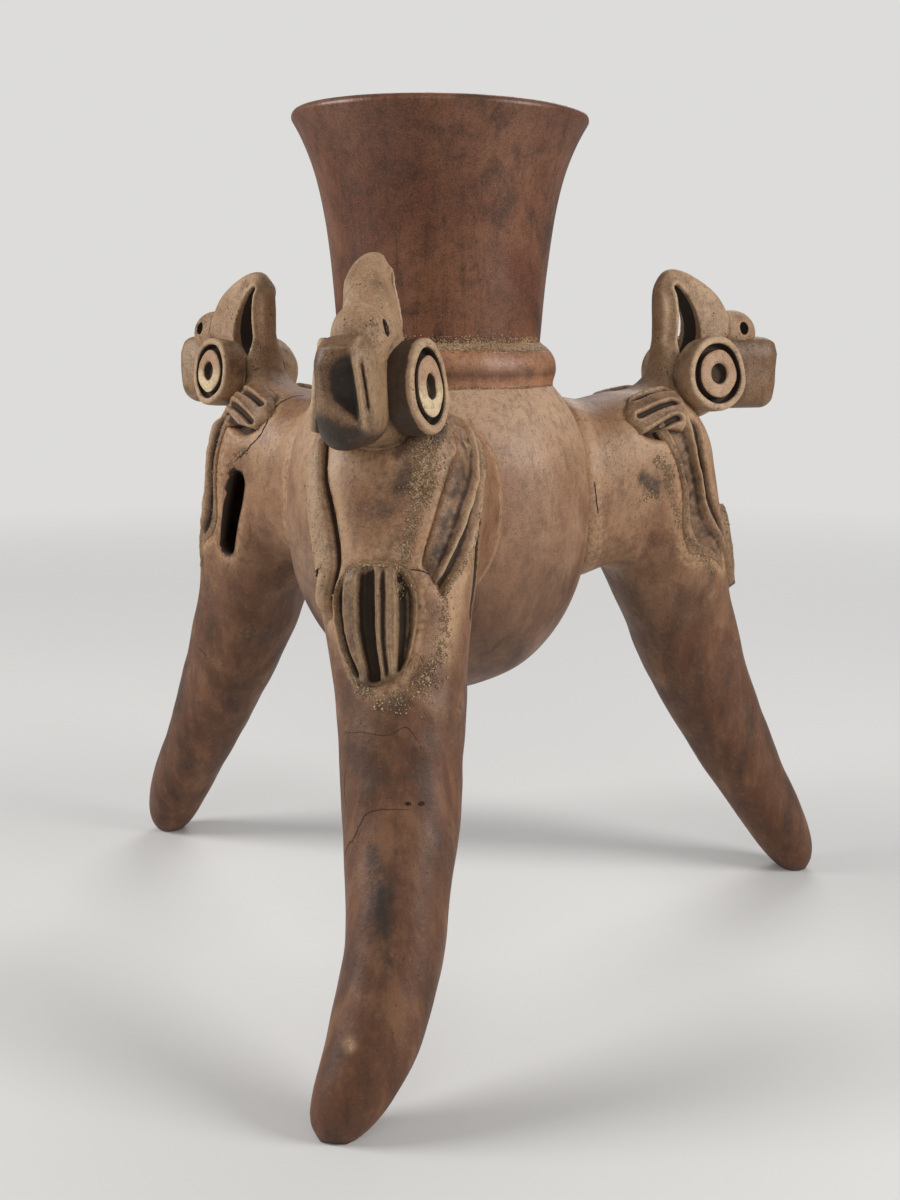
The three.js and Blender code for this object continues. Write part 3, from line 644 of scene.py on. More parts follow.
def off_leg(leg, along, turn, lift):
    """Points that stand off the leg's surface by a lift."""
    return on_leg(leg, along, turn) + leg_way(leg, along, turn) * np.asarray(lift)[..., None]


def ramp(values, low, high):
    """0 below low, 1 above high, and smooth between."""
    t = np.clip((np.asarray(values, float) - low) / (high - low), 0, 1)
    return t * t * (3 - 2 * t)


def bowl_radius(z):
    """The bowl's outer radius at a height."""
    outline = bowl_outline(200)
    return np.interp(z, outline[:, 1], outline[:, 0])


def about_jar(points, azimuth):
    """Points of a leg's own frame, turned to the leg's place round the jar."""
    a = math.radians(azimuth)
    r, l, z = points[..., 0], points[..., 1], points[..., 2]
    return np.stack([r * math.cos(a) - l * math.sin(a), r * math.sin(a) + l * math.cos(a), z], -1)


def down_leg(leg):
    """Places down the leg, and the length of its middle line to each of them."""
    fine = np.linspace(0, LEG_END, 600)
    centre = (on_leg(leg, fine, 0.0) + on_leg(leg, fine, math.pi)) / 2
    return fine, np.concatenate([[0], np.cumsum(np.linalg.norm(np.diff(centre, axis=0), axis=1))])


def girth(along):
    """The leg's mean half-thickness."""
    at = stations(np.asarray(along, float))
    return (at[..., 3] * LEG_HALF_DEPTH + at[..., 4] * LEG_HALF_WIDTH) / 2


def laid_flat(leg, along, turn):
    """Places on the leg as if its skin were laid flat: millimetres round it and down it."""
    return np.stack([np.asarray(turn) * girth(along), np.interp(along, *down_leg(leg))], -1)


def laid_back(leg, flat):
    """The same, undone: places down the leg and turns round it."""
    fine, length = down_leg(leg)
    along = np.interp(flat[..., 1], length, fine)
    return along, flat[..., 0] / girth(along)


def flat_line(leg, controls, count):
    """A smooth line over the laid-out skin, through places down the leg and degrees round it."""
    controls = np.array(controls, float)
    return rounded_line(laid_flat(leg, controls[:, 0], np.radians(controls[:, 1])), count)


def across_line(line):
    """The way across a flat line at each of its points."""
    run = np.gradient(line, axis=0)
    run /= np.linalg.norm(run, axis=1, keepdims=True)
    return np.stack([run[:, 1], -run[:, 0]], 1)


def beside(flat, line):
    """How far each flat place lies from a line, above 0 away from the leg's front, and the share
    of the way along it."""
    best = np.full(flat.shape[:-1], 1e9)
    share = np.zeros(best.shape)
    for k in range(len(line) - 1):
        run = line[k + 1] - line[k]
        gap = flat - line[k]
        t = np.clip(gap @ run / (run @ run), 0, 1)
        distance = np.linalg.norm(gap - t[..., None] * run, axis=-1)
        near = distance < np.abs(best)
        best = np.where(near, distance * np.where(run[1] * gap[..., 0] < run[0] * gap[..., 1], -1, 1), best)
        share = np.where(near, (k + t) / (len(line) - 1), share)
    return best, share


def root_of(leg, turns, thinner, depth):
    """Where each lengthways line of the leg leaves the bowl's wall."""
    fine = np.linspace(0, 3, 400)
    p = on_leg(leg, fine[:, None], turns[None, :], thinner)
    outside = np.hypot(p[..., 0], p[..., 1]) > bowl_radius(p[..., 2]) - depth
    return fine[np.argmax(outside, 0)]


def slit_frame(leg):
    """The middle of the slit, its lengthways direction and the one across it, seen from the side."""
    at = stations(np.array([SLIT_ALONG, SLIT_ALONG + 1]))
    r = BOWL_RADIUS + (leg["reach"] - BOWL_RADIUS) * at[:, 0]
    z = SHOULDER * at[:, 1]
    run = np.array([r[1] - r[0], z[1] - z[0]])
    run /= np.linalg.norm(run)
    lean = math.radians(at[0, 2])
    back = SLIT_BACK * LEG_HALF_DEPTH * at[0, 3]
    middle = np.array([r[0], z[0]]) - back * np.array([math.sin(lean), math.cos(lean)])
    return middle, run, np.array([-run[1], run[0]])


def slit_distance(leg, points):
    """How far outside the slit's outline a point lies, seen from the side."""
    middle, run, across = slit_frame(leg)
    gap = points[..., [0, 2]] - middle
    a, b = gap @ run, gap @ across
    beyond = np.maximum(np.abs(a) - (SLIT_LENGTH - SLIT_WIDTH) / 2, 0)
    return np.hypot(beyond, b) - SLIT_WIDTH / 2 + 0.6 * np.clip(-a / 20, 0, 1) ** 2


def slit_blade(leg):
    """The blade that cuts the slit: its round-ended outline, pushed in from the side."""
    middle, run, across = slit_frame(leg)
    half = SLIT_WIDTH / 2
    ring = np.array([
        middle + run * end * (SLIT_LENGTH / 2 - half + half * math.cos(turn)) + across * end * half * math.sin(turn)
        for end in (1, -1) for turn in np.linspace(-math.pi / 2, math.pi / 2, 13)])
    return lofted(np.stack([np.column_stack([ring[:, 0], np.full(len(ring), l), ring[:, 1]]) for l in (8, 30, 60)]))


def skin_rise(leg, points):
    """How far the skin swells off the leg's smooth shape, with the clay smeared round its root."""
    gap = np.hypot(points[..., 0], points[..., 1]) - bowl_radius(points[..., 2])
    smear = 2.6 * np.exp(-(np.maximum(gap, 0) / 9) ** 2) * ramp(gap, -4, 0)
    swell = waves(points, 34, leg["seed"]) * 0.45 + waves(points, 13, leg["seed"] + 5) * 0.12
    return smear + swell * ramp(points[..., 2], 4, 60) - 0.3 * ramp(-points[..., 2], -50, -15)


# Each arm's path down its leg, in places and degrees, and its cross-section: heights measured
# across the path, from the belly's side outwards. The skin under an arm, a claw or a tail is
# pressed in to bed it.
FRONT_SLIT_ARM = (
    [(2.1, 40), (2.4, 55), (2.75, 66), (3.25, 70.5), (3.72, 69.5), (4.22, 65), (4.85, 58.5), (5.44, 50), (5.9, 42),
     (6.35, 35)],
    [(-13.5, -2.4), (-12.0, -0.9), (-10.5, 0.1), (-8, 0.3), (-5, 0.0), (-2.4, 0.0), (-1.1, 1.4), (0, 2.7), (1.0, 1.8),
     (2.0, -0.2), (3.0, -1.3), (4.2, -1.4), (5.2, -0.3), (6.3, 1.5), (7.5, 2.3), (8.6, 1.3), (10, -2.0)])
FRONT_FAR_ARM = (
    [(2.95, 43), (3.4, 40.5), (3.8, 39.5), (4.24, 39.5), (4.65, 37), (5.13, 34), (5.6, 32), (6.0, 32.5), (6.25, 38),
     (6.5, 46), (6.9, 53)],
    [(-2.5, -2.0), (-1.7, -0.2), (-0.9, -0.6), (-0.3, -1.5), (0.4, -1.6), (1.1, -0.5), (1.9, 1.0), (4, 2.3), (7, 3.2),
     (10, 3.3), (12.4, 2.5), (13.3, 1.4), (14.2, 2.0), (15.4, 1.3), (17.4, -2.0)])
SLIT_ARM = (
    [(3.1, 44), (3.4, 56), (3.75, 66), (4.1, 71.5), (4.6, 76), (5.2, 77), (5.8, 72), (6.3, 62), (6.8, 48)],
    [(-12.5, -2.0), (-11, -0.2), (-9, 1.2), (-6, 2.2), (-3.4, 1.9), (-2.0, 0.9), (-1.0, -0.8), (0.2, -1.4),
     (1.4, -0.7), (2.4, 0.4), (3.4, 0.7), (4.6, 0.4), (6.0, -2.0)])
FAR_ARM = (
    [(3.2, 40), (3.4, 51), (3.7, 61), (4.0, 66.5), (4.5, 68.5), (5.0, 67), (5.5, 62), (6.0, 54), (6.5, 44),
     (6.95, 34)],
    [(-6.6, -2.0), (-5.4, -0.2), (-4.5, 1.0), (-3.5, 1.5), (-2.5, 0.9), (-1.5, -0.9), (-0.4, -1.6), (0.8, -1.2),
     (1.9, 0.9), (3.0, 1.9), (4.2, 1.3), (5.4, -0.2), (6.6, -1.0), (9.0, -1.2), (10.8, -0.6), (11.7, 0.5),
     (12.6, 0.8), (13.8, 0.1), (15.0, -2.0)])
ARMS = {("front", 1): FRONT_SLIT_ARM, ("front", -1): FRONT_FAR_ARM,
        **{(name, side): arm for name in ("right", "left") for side, arm in ((1, SLIT_ARM), (-1, FAR_ARM))}}
BED_DEPTH = 2.9
CLAW_EDGE = [(3.2, 50), (3.1, 34), (2.8, 17), (2.45, 14), (2.1, 20), (1.8, 26), (1.74, 33), (1.62, 40), (1.63, 49),
             (1.8, 58), (1.98, 66.5), (2.4, 72), (2.78, 69), (3.08, 61)]
TAIL_MIDDLE = 7.1
TAIL_SHIFTS = {"front": 0.0, "right": 4.6, "left": 4.6}
TAIL_EDGE = [
    (-5.5, -17.6), (0, -17.8), (4.4, -17.2), (8, -15.4), (10.8, -11.5), (11.4, -6), (10.4, 0), (8.4, 6), (5.6, 11),
    (1.2, 14.6), (-3.7, 16.2), (-8.8, 15.6), (-13.4, 12.6), (-17.8, 7.6), (-20.6, 1), (-20.8, -5), (-18.8, -11),
    (-14.8, -15.2), (-10.3, -17.1)]


def outline_distance(outline, x, y):
    """The distance from a smooth closed outline, below 0 inside it."""
    line = rounded_line(outline, 8 * len(outline), closed=True)
    best = np.full(np.broadcast(x, y).shape, 1e9)
    inside = np.zeros(best.shape, bool)
    for a, b in zip(line, np.roll(line, -1, axis=0)):
        run = b - a
        t = np.clip(((x - a[0]) * run[0] + (y - a[1]) * run[1]) / (run @ run), 0, 1)
        best = np.minimum(best, (x - a[0] - t * run[0]) ** 2 + (y - a[1] - t * run[1]) ** 2)
        if a[1] != b[1]:
            inside ^= ((a[1] > y) != (b[1] > y)) & (x < run[0] * (y - a[1]) / run[1] + a[0])
    return np.where(inside, -1, 1) * np.sqrt(best)


def arm_fade(share):
    """0 at the arm's ends, where it sinks into the skin."""
    return ramp(share, 0, 0.08) * ramp(1 - share, 0, 0.1)


def arm_breadth(share):
    """The arm's breadth along it."""
    return np.interp(share, [0, 0.12, 0.6, 1], [0.85, 1, 0.95, 0.5])


def claw_distance(leg, flat):
    """How far outside a claw's edge a flat place lies."""
    controls = np.array(CLAW_EDGE)
    edge = laid_flat(leg, controls[:, 0], np.radians(controls[:, 1]))
    return outline_distance(edge, flat[..., 0], flat[..., 1])


def tail_place(leg, flat):
    """Places on the front of the leg, about the middle of its tail: aside, and down."""
    middle = laid_flat(leg, TAIL_MIDDLE, 0.0)
    return flat[..., 0] - TAIL_SHIFTS[leg["name"]], flat[..., 1] - middle[1]


def bed(leg, along, turn):
    """How far the skin is pressed in under the bird's pieces."""
    flat = laid_flat(leg, along, turn)
    total = 1.5 * ramp(-outline_distance(TAIL_EDGE, *tail_place(leg, flat)), 0.3, 3.5)
    for side in (1, -1):
        path, edges = ARMS[leg["name"], side]
        gap, share = beside(flat * (side, 1), flat_line(leg, path, 30))
        gap = gap / arm_breadth(share)
        inner, outer = edges[0][0], -edges[-1][0]
        under_arm = ramp(gap, inner + 0.5, inner + 3) * ramp(-gap, outer + 0.5, outer + 3) * arm_fade(share)
        under_claw = ramp(-claw_distance(leg, flat * (side, 1)), 0.3, 3)
        total = np.maximum(total, np.maximum(under_arm, under_claw))
    return total * BED_DEPTH


# Stains on the skin, and painted shadow under the front bird's head: kind, a line down the leg in places and degrees,
# its half-widths, strength.
STAINS_AND_SHADOWS = {
    "front": [
        ("crust", [(3.5, 14), (3.85, 24), (4.3, 25.5), (4.7, 22), (5.2, 18.5), (5.65, 15), (6.1, 11)],
         [9, 11, 9.5, 7.5, 5, 3.4, 3], 0.66),
        ("crust", [(3.45, -14), (3.55, 5), (3.5, 22)], [2.5, 3, 4], 0.42),
        ("crust", [(7.6, -34), (7.95, -22), (8.15, -6), (8.1, 12), (7.7, 34)], [3, 4, 3.4, 4.5, 7], 0.62),
        ("crust", [(6.3, 48), (6.9, 50), (7.4, 42)], [4, 5.5, 5], 0.52),
        # These two soot bands, under the head and comb and down the belly, are dark patina and painted shadow.
        ("soot", [(3.2, -30), (3.3, 0), (3.3, 30)], [7, 8, 7], 0.9),
        ("soot", [(3.8, -6), (4.5, 2), (5.6, 4)], [13, 11, 8], 0.52),
        ("soot", [(3.4, 40), (4.2, 44), (5.2, 36)], [5, 5, 4], 0.55),
        ("soot", [(7.9, -22), (8.25, -4), (8.1, 14)], [2.5, 3.5, 3], 0.6),
        ("soot", [(9.9, -18), (10.3, -6), (10.7, -8), (11.1, 8)], [5, 8, 8, 6], 0.8),
        ("soot", [(8.5, 4), (9.6, 6), (11.5, 8), (13, 8)], [4, 4, 5, 5], 0.42),
        ("pale", [(3.7, -32), (4.6, -29), (5.7, -22)], [4.5, 4, 3], 0.6),
        ("pale", [(5.5, 66), (6.3, 60), (7.2, 52)], [5, 5, 4], 0.75),
        ("pale", [(12.1, -19), (12.16, -15)], [1.9, 1.7], 0.85)],
    "right": [
        ("crust", [(2.45, -80), (3.0, -87), (3.5, -92), (4.3, -94), (5.3, -91), (6.1, -84), (6.9, -70)],
         [3, 3.5, 3, 2, 2.5, 2.5, 3], 0.6),
        ("crust", [(2.0, -88), (2.3, -92), (2.7, -94)], [3, 4, 2.5], 0.5),
        ("soot", [(2.0, -88), (2.35, -90), (2.7, -92)], [2.6, 2.2, 2], 0.9),
        ("pale", [(0.5, -50), (1.2, -70), (2.0, -80)], [9, 10, 8], 0.45),
        ("soot", [(6.5, -30), (9, -20), (12, -10)], [6, 7, 7], 0.4)],
    "left": [
        ("crust", [(2.3, 78), (2.8, 82), (3.3, 86)], [2.2, 2.6, 2], 0.6),
        ("pale", [(0.6, 40), (1.2, 60), (1.9, 80)], [9, 9, 7], 0.4),
        ("soot", [(3.4, 118), (4.4, 122)], [4, 5], 0.5),
        ("soot", [(7, 60), (9, 60), (12, 60)], [7, 8, 8], 0.5)],
}


def stain_and_shadow_marks(leg, flat):
    """The leg's stains and painted shadows, as marks at flat places on its skin."""
    marks = {kind: np.zeros(flat.shape[:-1]) for kind in ("crust", "soot", "pale")}
    for kind, controls, widths, strength in STAINS_AND_SHADOWS[leg["name"]]:
        gap, share = beside(flat, flat_line(leg, controls, 24))
        broad = np.interp(share, np.linspace(0, 1, len(widths)), widths)
        marks[kind] = np.maximum(marks[kind], strength * np.exp(-(gap / broad) ** 2))
    return marks


def crumb_seats(points, crust, share, seed):
    """Places for grains of crust: points picked at random, more of them where the crust is thick."""
    points, crust = np.repeat(points.reshape(-1, 3), 3, 0), np.repeat(crust.ravel(), 3)
    random = np.random.default_rng(seed)
    return (points + random.normal(scale=0.3, size=points.shape))[random.random(len(points)) < crust ** 1.5 * share]


leg_clay = fired_clay(
    "leg_clay", [(150, 114, 84), (130, 90, 61), (90, 55, 34), (44, 31, 22), (188, 152, 116)],
    gloss=0.5, pits=0.45, grain=0.8, streak=0.3, flecks=0.12, mottle=0.8)
for name, leg in LEGS.items():
    leg["name"] = name
    turns = np.linspace(0, 2 * math.pi, LEG_AROUND, endpoint=False)
    fine, length = down_leg(leg)
    shares = np.interp(np.linspace(0, length[-1], LEG_DOWN), length, fine)[:, None] / LEG_END
    start = root_of(leg, turns, 0.0, 3.0)[None, :]
    along = start + (LEG_END - start) * shares
    turn = (np.broadcast_to(turns, along.shape) + math.pi) % (2 * math.pi) - math.pi
    base = on_leg(leg, along, turn)
    rise = skin_rise(leg, base) - bed(leg, along, turn)
    rise -= 0.8 * np.exp(-(np.maximum(slit_distance(leg, base), 0) / 1.1) ** 2) * (base[..., 1] > 8)
    skin = off_leg(leg, along, turn, rise)
    skin[..., 2] = np.maximum(skin[..., 2], 0)
    shares = np.linspace(1, 0, CHAMBER_DOWN)[:, None]
    inner_root = root_of(leg, turns, LEG_WALL, -0.3)[None, :]
    chamber = on_leg(leg, inner_root + (CHAMBER_END - inner_root) * shares, turns[None, :], LEG_WALL)
    points, faces = lofted(np.concatenate([chamber, skin]))
    inside = chamber[..., 0].size
    outside = np.zeros(len(points), bool)
    outside[inside:] = True
    outside[-2] = False
    leg["skin"] = skin
    marks = stain_and_shadow_marks(leg, laid_flat(leg, along, turn))
    leg["crumbs"] = [crumb_seats(skin, marks["crust"], 0.36, leg["seed"])]
    marks = {key: np.concatenate([np.zeros(inside), value.ravel(), [0, 0]]) for key, value in marks.items()}
    blade, blade_faces = slit_blade(leg)
    # The legs darken towards their feet.
    piece(f"{name}_rattle_leg", about_jar(points, leg["azimuth"]), faces, leg_clay, "leg_clay", f"{name}_leg",
          knife=(about_jar(blade, leg["azimuth"]), blade_faces),
          hollow=hollowness(points, faces, 24) * outside * ramp(points[:, 2], 12, 45),
          aged=0.95 * ramp(-points[:, 2], -205, -95), **marks)

# Bird pieces on each leg: lumps, strips and pads of buff clay, pressed on by hand and smeared into
# the leg at their edges. The lumps are fields of distances, skinned where the distance is 0, and
# the leg's own distances, on a coarse grid, are what they are smeared into.
FIELD_LOW = np.array([58.0, -46.0, 118.0])
FIELD_HIGH = np.array([168.0, 46.0, 292.0])
FIELD_PITCH = 2.6


def joined(a, b, soft):
    """Two lumps of clay pressed together, with a smeared joint."""
    h = np.clip(0.5 + 0.5 * (b - a) / soft, 0, 1)
    return b + (a - b) * h - soft * h * (1 - h)


def without(a, b, soft):
    """A lump with another pressed out of it."""
    return -joined(-a, b, soft)


def within(a, b, soft):
    """What two lumps share."""
    return -joined(-a, -b, soft)


def skinned(field, low, pitch):
    """The skin where a field of distances crosses 0: one point for each cell that it crosses."""
    field = field.copy()
    for axis in range(3):
        for end in (0, -1):
            np.moveaxis(field, axis, 0)[end] = pitch
    inside = field < 0
    nx, ny, nz = field.shape
    corners = [(i, j, k) for i in (0, 1) for j in (0, 1) for k in (0, 1)]
    full = sum(inside[i:nx - 1 + i, j:ny - 1 + j, k:nz - 1 + k].astype(np.int8) for i, j, k in corners)
    cells = (full > 0) & (full < 8)
    base = np.argwhere(cells)
    number = np.full(cells.shape, -1)
    number[cells] = np.arange(len(base))
    total = np.zeros((len(base), 3))
    hits = np.zeros(len(base))
    for a in corners:
        for axis in range(3):
            if a[axis]:
                continue
            b = tuple(1 if k == axis else a[k] for k in range(3))
            va, vb = (field[tuple((base + c).T)] for c in (a, b))
            crossed = (va < 0) != (vb < 0)
            t = np.where(crossed, va / np.where(crossed, va - vb, 1), 0)
            spot = np.array(a) + t[:, None] * (np.array(b) - a)
            total += spot * crossed[:, None]
            hits += crossed
    points = low + pitch * (base + total / hits[:, None])
    faces = []
    for axis in range(3):
        p, q = [k for k in range(3) if k != axis]
        first = np.moveaxis(inside, axis, 0)[:-1]
        second = np.moveaxis(inside, axis, 0)[1:]
        edge = np.argwhere(np.moveaxis(first != second, 0, axis))
        leaves = inside[tuple(edge.T)]
        around = []
        for dp, dq in ((0, 0), (-1, 0), (-1, -1), (0, -1)):
            cell = edge.copy()
            cell[:, p] += dp
            cell[:, q] += dq
            around.append(number[tuple(cell.T)])
        quad = np.stack(around, 1)
        if axis == 1:
            leaves = ~leaves
        faces.append(np.where(leaves[:, None], quad, quad[:, ::-1]))
    faces = np.concatenate(faces)
    return points, faces[(faces >= 0).all(1)]


class Block:
    """A block of space about a piece of clay, in the leg's own frame, with the leg's distances."""

    def __init__(self, leg, low, high, pitch):
        self.low, self.pitch = np.array(low, float), pitch
        axes = [np.arange(a, b, pitch) for a, b in zip(low, high)]
        self.r, self.l, self.z = np.meshgrid(*axes, indexing="ij", sparse=True)
        self.leg = leg["field"]
        for axis, places in enumerate(axes):
            at = np.clip((places - FIELD_LOW[axis]) / FIELD_PITCH, 0, self.leg.shape[axis] - 1.001)
            first = at.astype(int)
            f = (at - first).reshape([-1 if k == axis else 1 for k in range(3)])
            self.leg = np.take(self.leg, first, axis) * (1 - f) + np.take(self.leg, first + 1, axis) * f

    def even(self, field):
        """A rough field made even, so that its values are millimetres near the skin."""
        slopes = np.gradient(field, self.pitch)
        return field / np.maximum(np.sqrt(sum(s * s for s in slopes)), 0.02)

    def lump(self, centre, radii):
        """An egg of clay."""
        gaps = [(v - c) / s for v, c, s in zip((self.r, self.l, self.z), centre, radii)]
        return (np.sqrt(sum(g * g for g in gaps)) - 1) * min(radii)


def modelled(name, leg, block, field, material, slot, *nodes, steps=12, painted_shade=None, **marks):
    """A bird piece from its field, in its place on the jar, with its hollows marked for soil and
    painted shade. A rule of painted shade marks further places as hollows. That rule and the marks
    are rules for the piece's points."""
    points, faces = skinned(field, block.low, block.pitch)
    points = relaxed(points, faces, 1)
    depth = hollowness(points, faces, steps) + 0.5 * np.maximum(hollowness(points, faces, steps * 7), 0)
    if painted_shade:
        depth = depth + painted_shade(points)
    marks = {key: value(points) for key, value in marks.items()}
    return piece(name, about_jar(points, leg["azimuth"]), faces, material, slot, *nodes, hollow=depth, **marks)


for leg in LEGS.values():
    rows, columns = leg["skin"].shape[:2]
    i, j = np.meshgrid(np.arange(rows - 1), np.arange(columns), indexing="ij")
    row, after, onward = i * columns, (i + 1) * columns, (j + 1) % columns
    quads = np.stack([row + j, row + onward, after + onward, after + j], 2)
    tree = BVHTree.FromPolygons(leg["skin"].reshape(-1, 3).tolist(), quads.reshape(-1, 4).tolist())
    axes = [np.arange(a, b, FIELD_PITCH) for a, b in zip(FIELD_LOW, FIELD_HIGH)]
    spots = np.stack(np.meshgrid(*axes, indexing="ij"), -1).reshape(-1, 3)
    values = []
    for spot in spots.tolist():
        near, way, _, gap = tree.find_nearest(spot)
        inwards = sum((spot[axis] - near[axis]) * way[axis] for axis in range(3))
        values.append(-gap if inwards > 0 else gap)
    leg["field"] = np.array(values).reshape([len(a) for a in axes])

# Arms: a flat strip of clay down each side of the bird's belly, pressed on from the shoulder to
# the tail, its raised edges pinched up and the groove between them drawn with a stick.
def blurred(values, reach):
    """Values on a grid, averaged with their neighbours."""
    weights = np.exp(-(np.arange(-3 * reach, 3 * reach + 1) / reach) ** 2)
    weights /= weights.sum()
    for axis in (0, 1):
        ends = [(3 * reach, 3 * reach) if k == axis else (0, 0) for k in (0, 1)]
        wide = np.pad(values, ends, "edge")
        count = values.shape[axis]
        values = sum(w * np.take(wide, range(k, k + count), axis) for k, w in enumerate(weights))
    return values


def pressed_on(name, leg, flat, side, height, pitch, material, slot, *nodes, crust, **marks):
    """A pad of clay pressed on the leg: its heights over the skin, on a grid of flat places, and
    closed below in its bed. It is marked where it lies hollow, for soil and painted shade, and
    grains lie in its crust."""
    along, turn = laid_back(leg, flat)
    turn = turn * side
    base = on_leg(leg, along, turn)
    way = leg_way(leg, along, turn)
    rise = skin_rise(leg, base)
    height = height + waves(base, 5, leg["seed"]) * 0.1 + waves(base, 2.2, leg["seed"]) * 0.04
    top = base + way * (rise + height)[..., None]
    below = (base + way * (rise - BED_DEPTH - 0.9)[..., None])[:, ::-6]
    points, faces = lofted(np.concatenate([top, below], 1))
    near, far = [blurred(height, max(1, round(reach / pitch))) - height for reach in (1.1, 3.2)]
    leg["crumbs"].append(crumb_seats(top, crust * np.ones(height.shape), 0.05, leg["seed"] + 1))
    marks["crust"] = crust
    marks["hollow"] = near * 1.3 + np.maximum(far, 0) * 0.55
    for key, values in marks.items():
        every = np.concatenate([np.broadcast_to(values, top.shape[:2]), np.zeros(below.shape[:2])], 1)
        marks[key] = np.concatenate([every.ravel(), [0, 0]])
    return piece(name, about_jar(points, leg["azimuth"]), faces, material, slot, *nodes, **marks)


def sunk(height, share, depth):
    """Heights that sink to a depth under the skin where the share falls to 0."""
    return height * share - depth * (1 - share)


def flat_grid(across, down, middle, pitch):
    """A grid of flat places: from and to, across and down, about a middle."""
    x, y = [np.arange(*span, pitch) + at for span, at in zip((across, down), middle)]
    return np.stack(np.meshgrid(x, y), -1)


buff_clay = fired_clay(
    "buff_clay", [(174, 142, 111), (154, 119, 88), (108, 80, 57), (40, 30, 22), (212, 184, 150)],
    gloss=0.6, pits=0.9, grain=1.3, streak=1.0, mottle=0.7)
arm_clay = fired_clay(
    "arm_clay", [(146, 113, 85), (126, 92, 65), (84, 58, 41), (46, 33, 24), (190, 158, 122)],
    gloss=0.56, pits=0.6, grain=1.2, streak=0.7)
SIDES = (("right", 1), ("left", -1))
ARM_DOWN = 210
ARM_ACROSS = 0.3
ARM_PITCH = 0.35
ARM_SUNK = 2.2
ARM_SOOT = {"front": {1: -6, -1: 0}, "right": {1: 0, -1: 8.5}, "left": {1: 0, -1: 8.5}}
for name, leg in LEGS.items():
    for word, side in SIDES:
        path, edges = ARMS[name, side]
        line = flat_line(leg, path, 40)
        steps = np.arange(len(line))
        places = np.linspace(0, steps[-1], ARM_DOWN)
        spine, out = [np.stack([np.interp(places, steps, v[:, k]) for k in (0, 1)], 1)
                      for v in (line, across_line(line))]
        offsets = np.arange(edges[0][0], edges[-1][0], ARM_ACROSS)
        share = places / steps[-1]
        flat = spine[:, None] + out[:, None] * (offsets[None, :] * arm_breadth(share)[:, None])[..., None]
        section = rounded_line(edges, 8 * len(edges))
        height = np.interp(offsets, section[:, 0], section[:, 1])[None, :]
        random = np.random.default_rng(leg["seed"] * 3 + side)
        drift = np.interp(places, np.linspace(0, steps[-1], 12), random.uniform(-0.16, 0.16, 12))[:, None]
        height = sunk(height * (1 + drift) + 0.25 * drift, arm_fade(share)[:, None], ARM_SUNK)
        sooty = 0.6 if side > 0 else 0.22
        # Its raised edges are painted paler, as wear and as a painted highlight.
        pressed_on(f"{name}_arm_strip_{word}", leg, flat, side, height, ARM_PITCH, arm_clay, "bird_buff",
                   f"{name}_arm_{word}", crust=0.55 * np.exp(-((offsets - edges[-1][0] + 2.6) / 1.6) ** 2)[None, :],
                   soot=sooty * np.exp(-((offsets - ARM_SOOT[name][side]) / 4.5) ** 2)[None, :],
                   pale=0.5 * ramp(height, 1.2, 2.4))

# Claws: a small hand laid over each shoulder, pointing at the bowl. Its four fingers were parted
# by three strokes of a blunt stick, which left round-ended hollows.
CLAW_PITCH = 0.36
CLAW_SUNK = 2.4
CLAW_STROKES = [
    [(2.66, 25), (2.3, 28), (1.92, 32)],
    [(2.7, 41), (2.3, 45), (1.93, 49)],
    [(2.78, 54), (2.42, 59.5), (2.06, 64)]]
LEFT_CLAW_STROKES = [
    [(3.0, 25), (2.5, 33), (1.95, 42)],
    [(3.0, 41), (2.6, 49), (2.07, 58)],
    [(3.02, 53), (2.7, 61), (2.28, 68)]]
for name, leg in LEGS.items():
    for word, side in SIDES:
        flat = flat_grid((0, 36), (0, 29), laid_flat(leg, 1.5, 0.06), CLAW_PITCH)
        gap = claw_distance(leg, flat)
        worn_low = (name, side) == ("front", 1)
        thick, stroke_depth = (2.6, 0.3) if worn_low else (5.0, 2.4)
        inward = np.clip(-gap / 3.2, 0, 1)
        height = thick * np.sqrt(1 - (1 - inward) ** 2) - CLAW_SUNK
        for stroke in LEFT_CLAW_STROKES if (name, side) == ("left", 1) else CLAW_STROKES:
            distance = np.abs(beside(flat, flat_line(leg, stroke, 16))[0])
            pushed_up = 0.3 * np.exp(-((distance - 2.6) / 0.8) ** 2)
            height = height - stroke_depth * (1 - ramp(distance, 0.4, 2.1)) + pushed_up
        pressed_on(f"{name}_claw_hand_{word}", leg, flat, side, height, CLAW_PITCH, arm_clay, "bird_buff",
                   f"{name}_claw_{word}", crust=0.5 * np.exp(-(gap / 1.6) ** 2))

# Tails: a fan of clay hanging on the front of each leg, between the arms' ends. Its feathers
# are three deep scoops with ribs between them, round at their upper ends, drawn in the soft clay.
tail_clay = fired_clay(
    "tail_clay", [(128, 98, 70), (106, 77, 53), (66, 46, 32), (42, 30, 20), (160, 130, 96)],
    gloss=0.5, pits=0.6, grain=1.2, streak=0.5)
TAIL_PITCH = 0.26
TAIL_SUNK = 2.6
TAIL_LIFTS = {"front": -0.4, "right": 1.3, "left": 1.3}
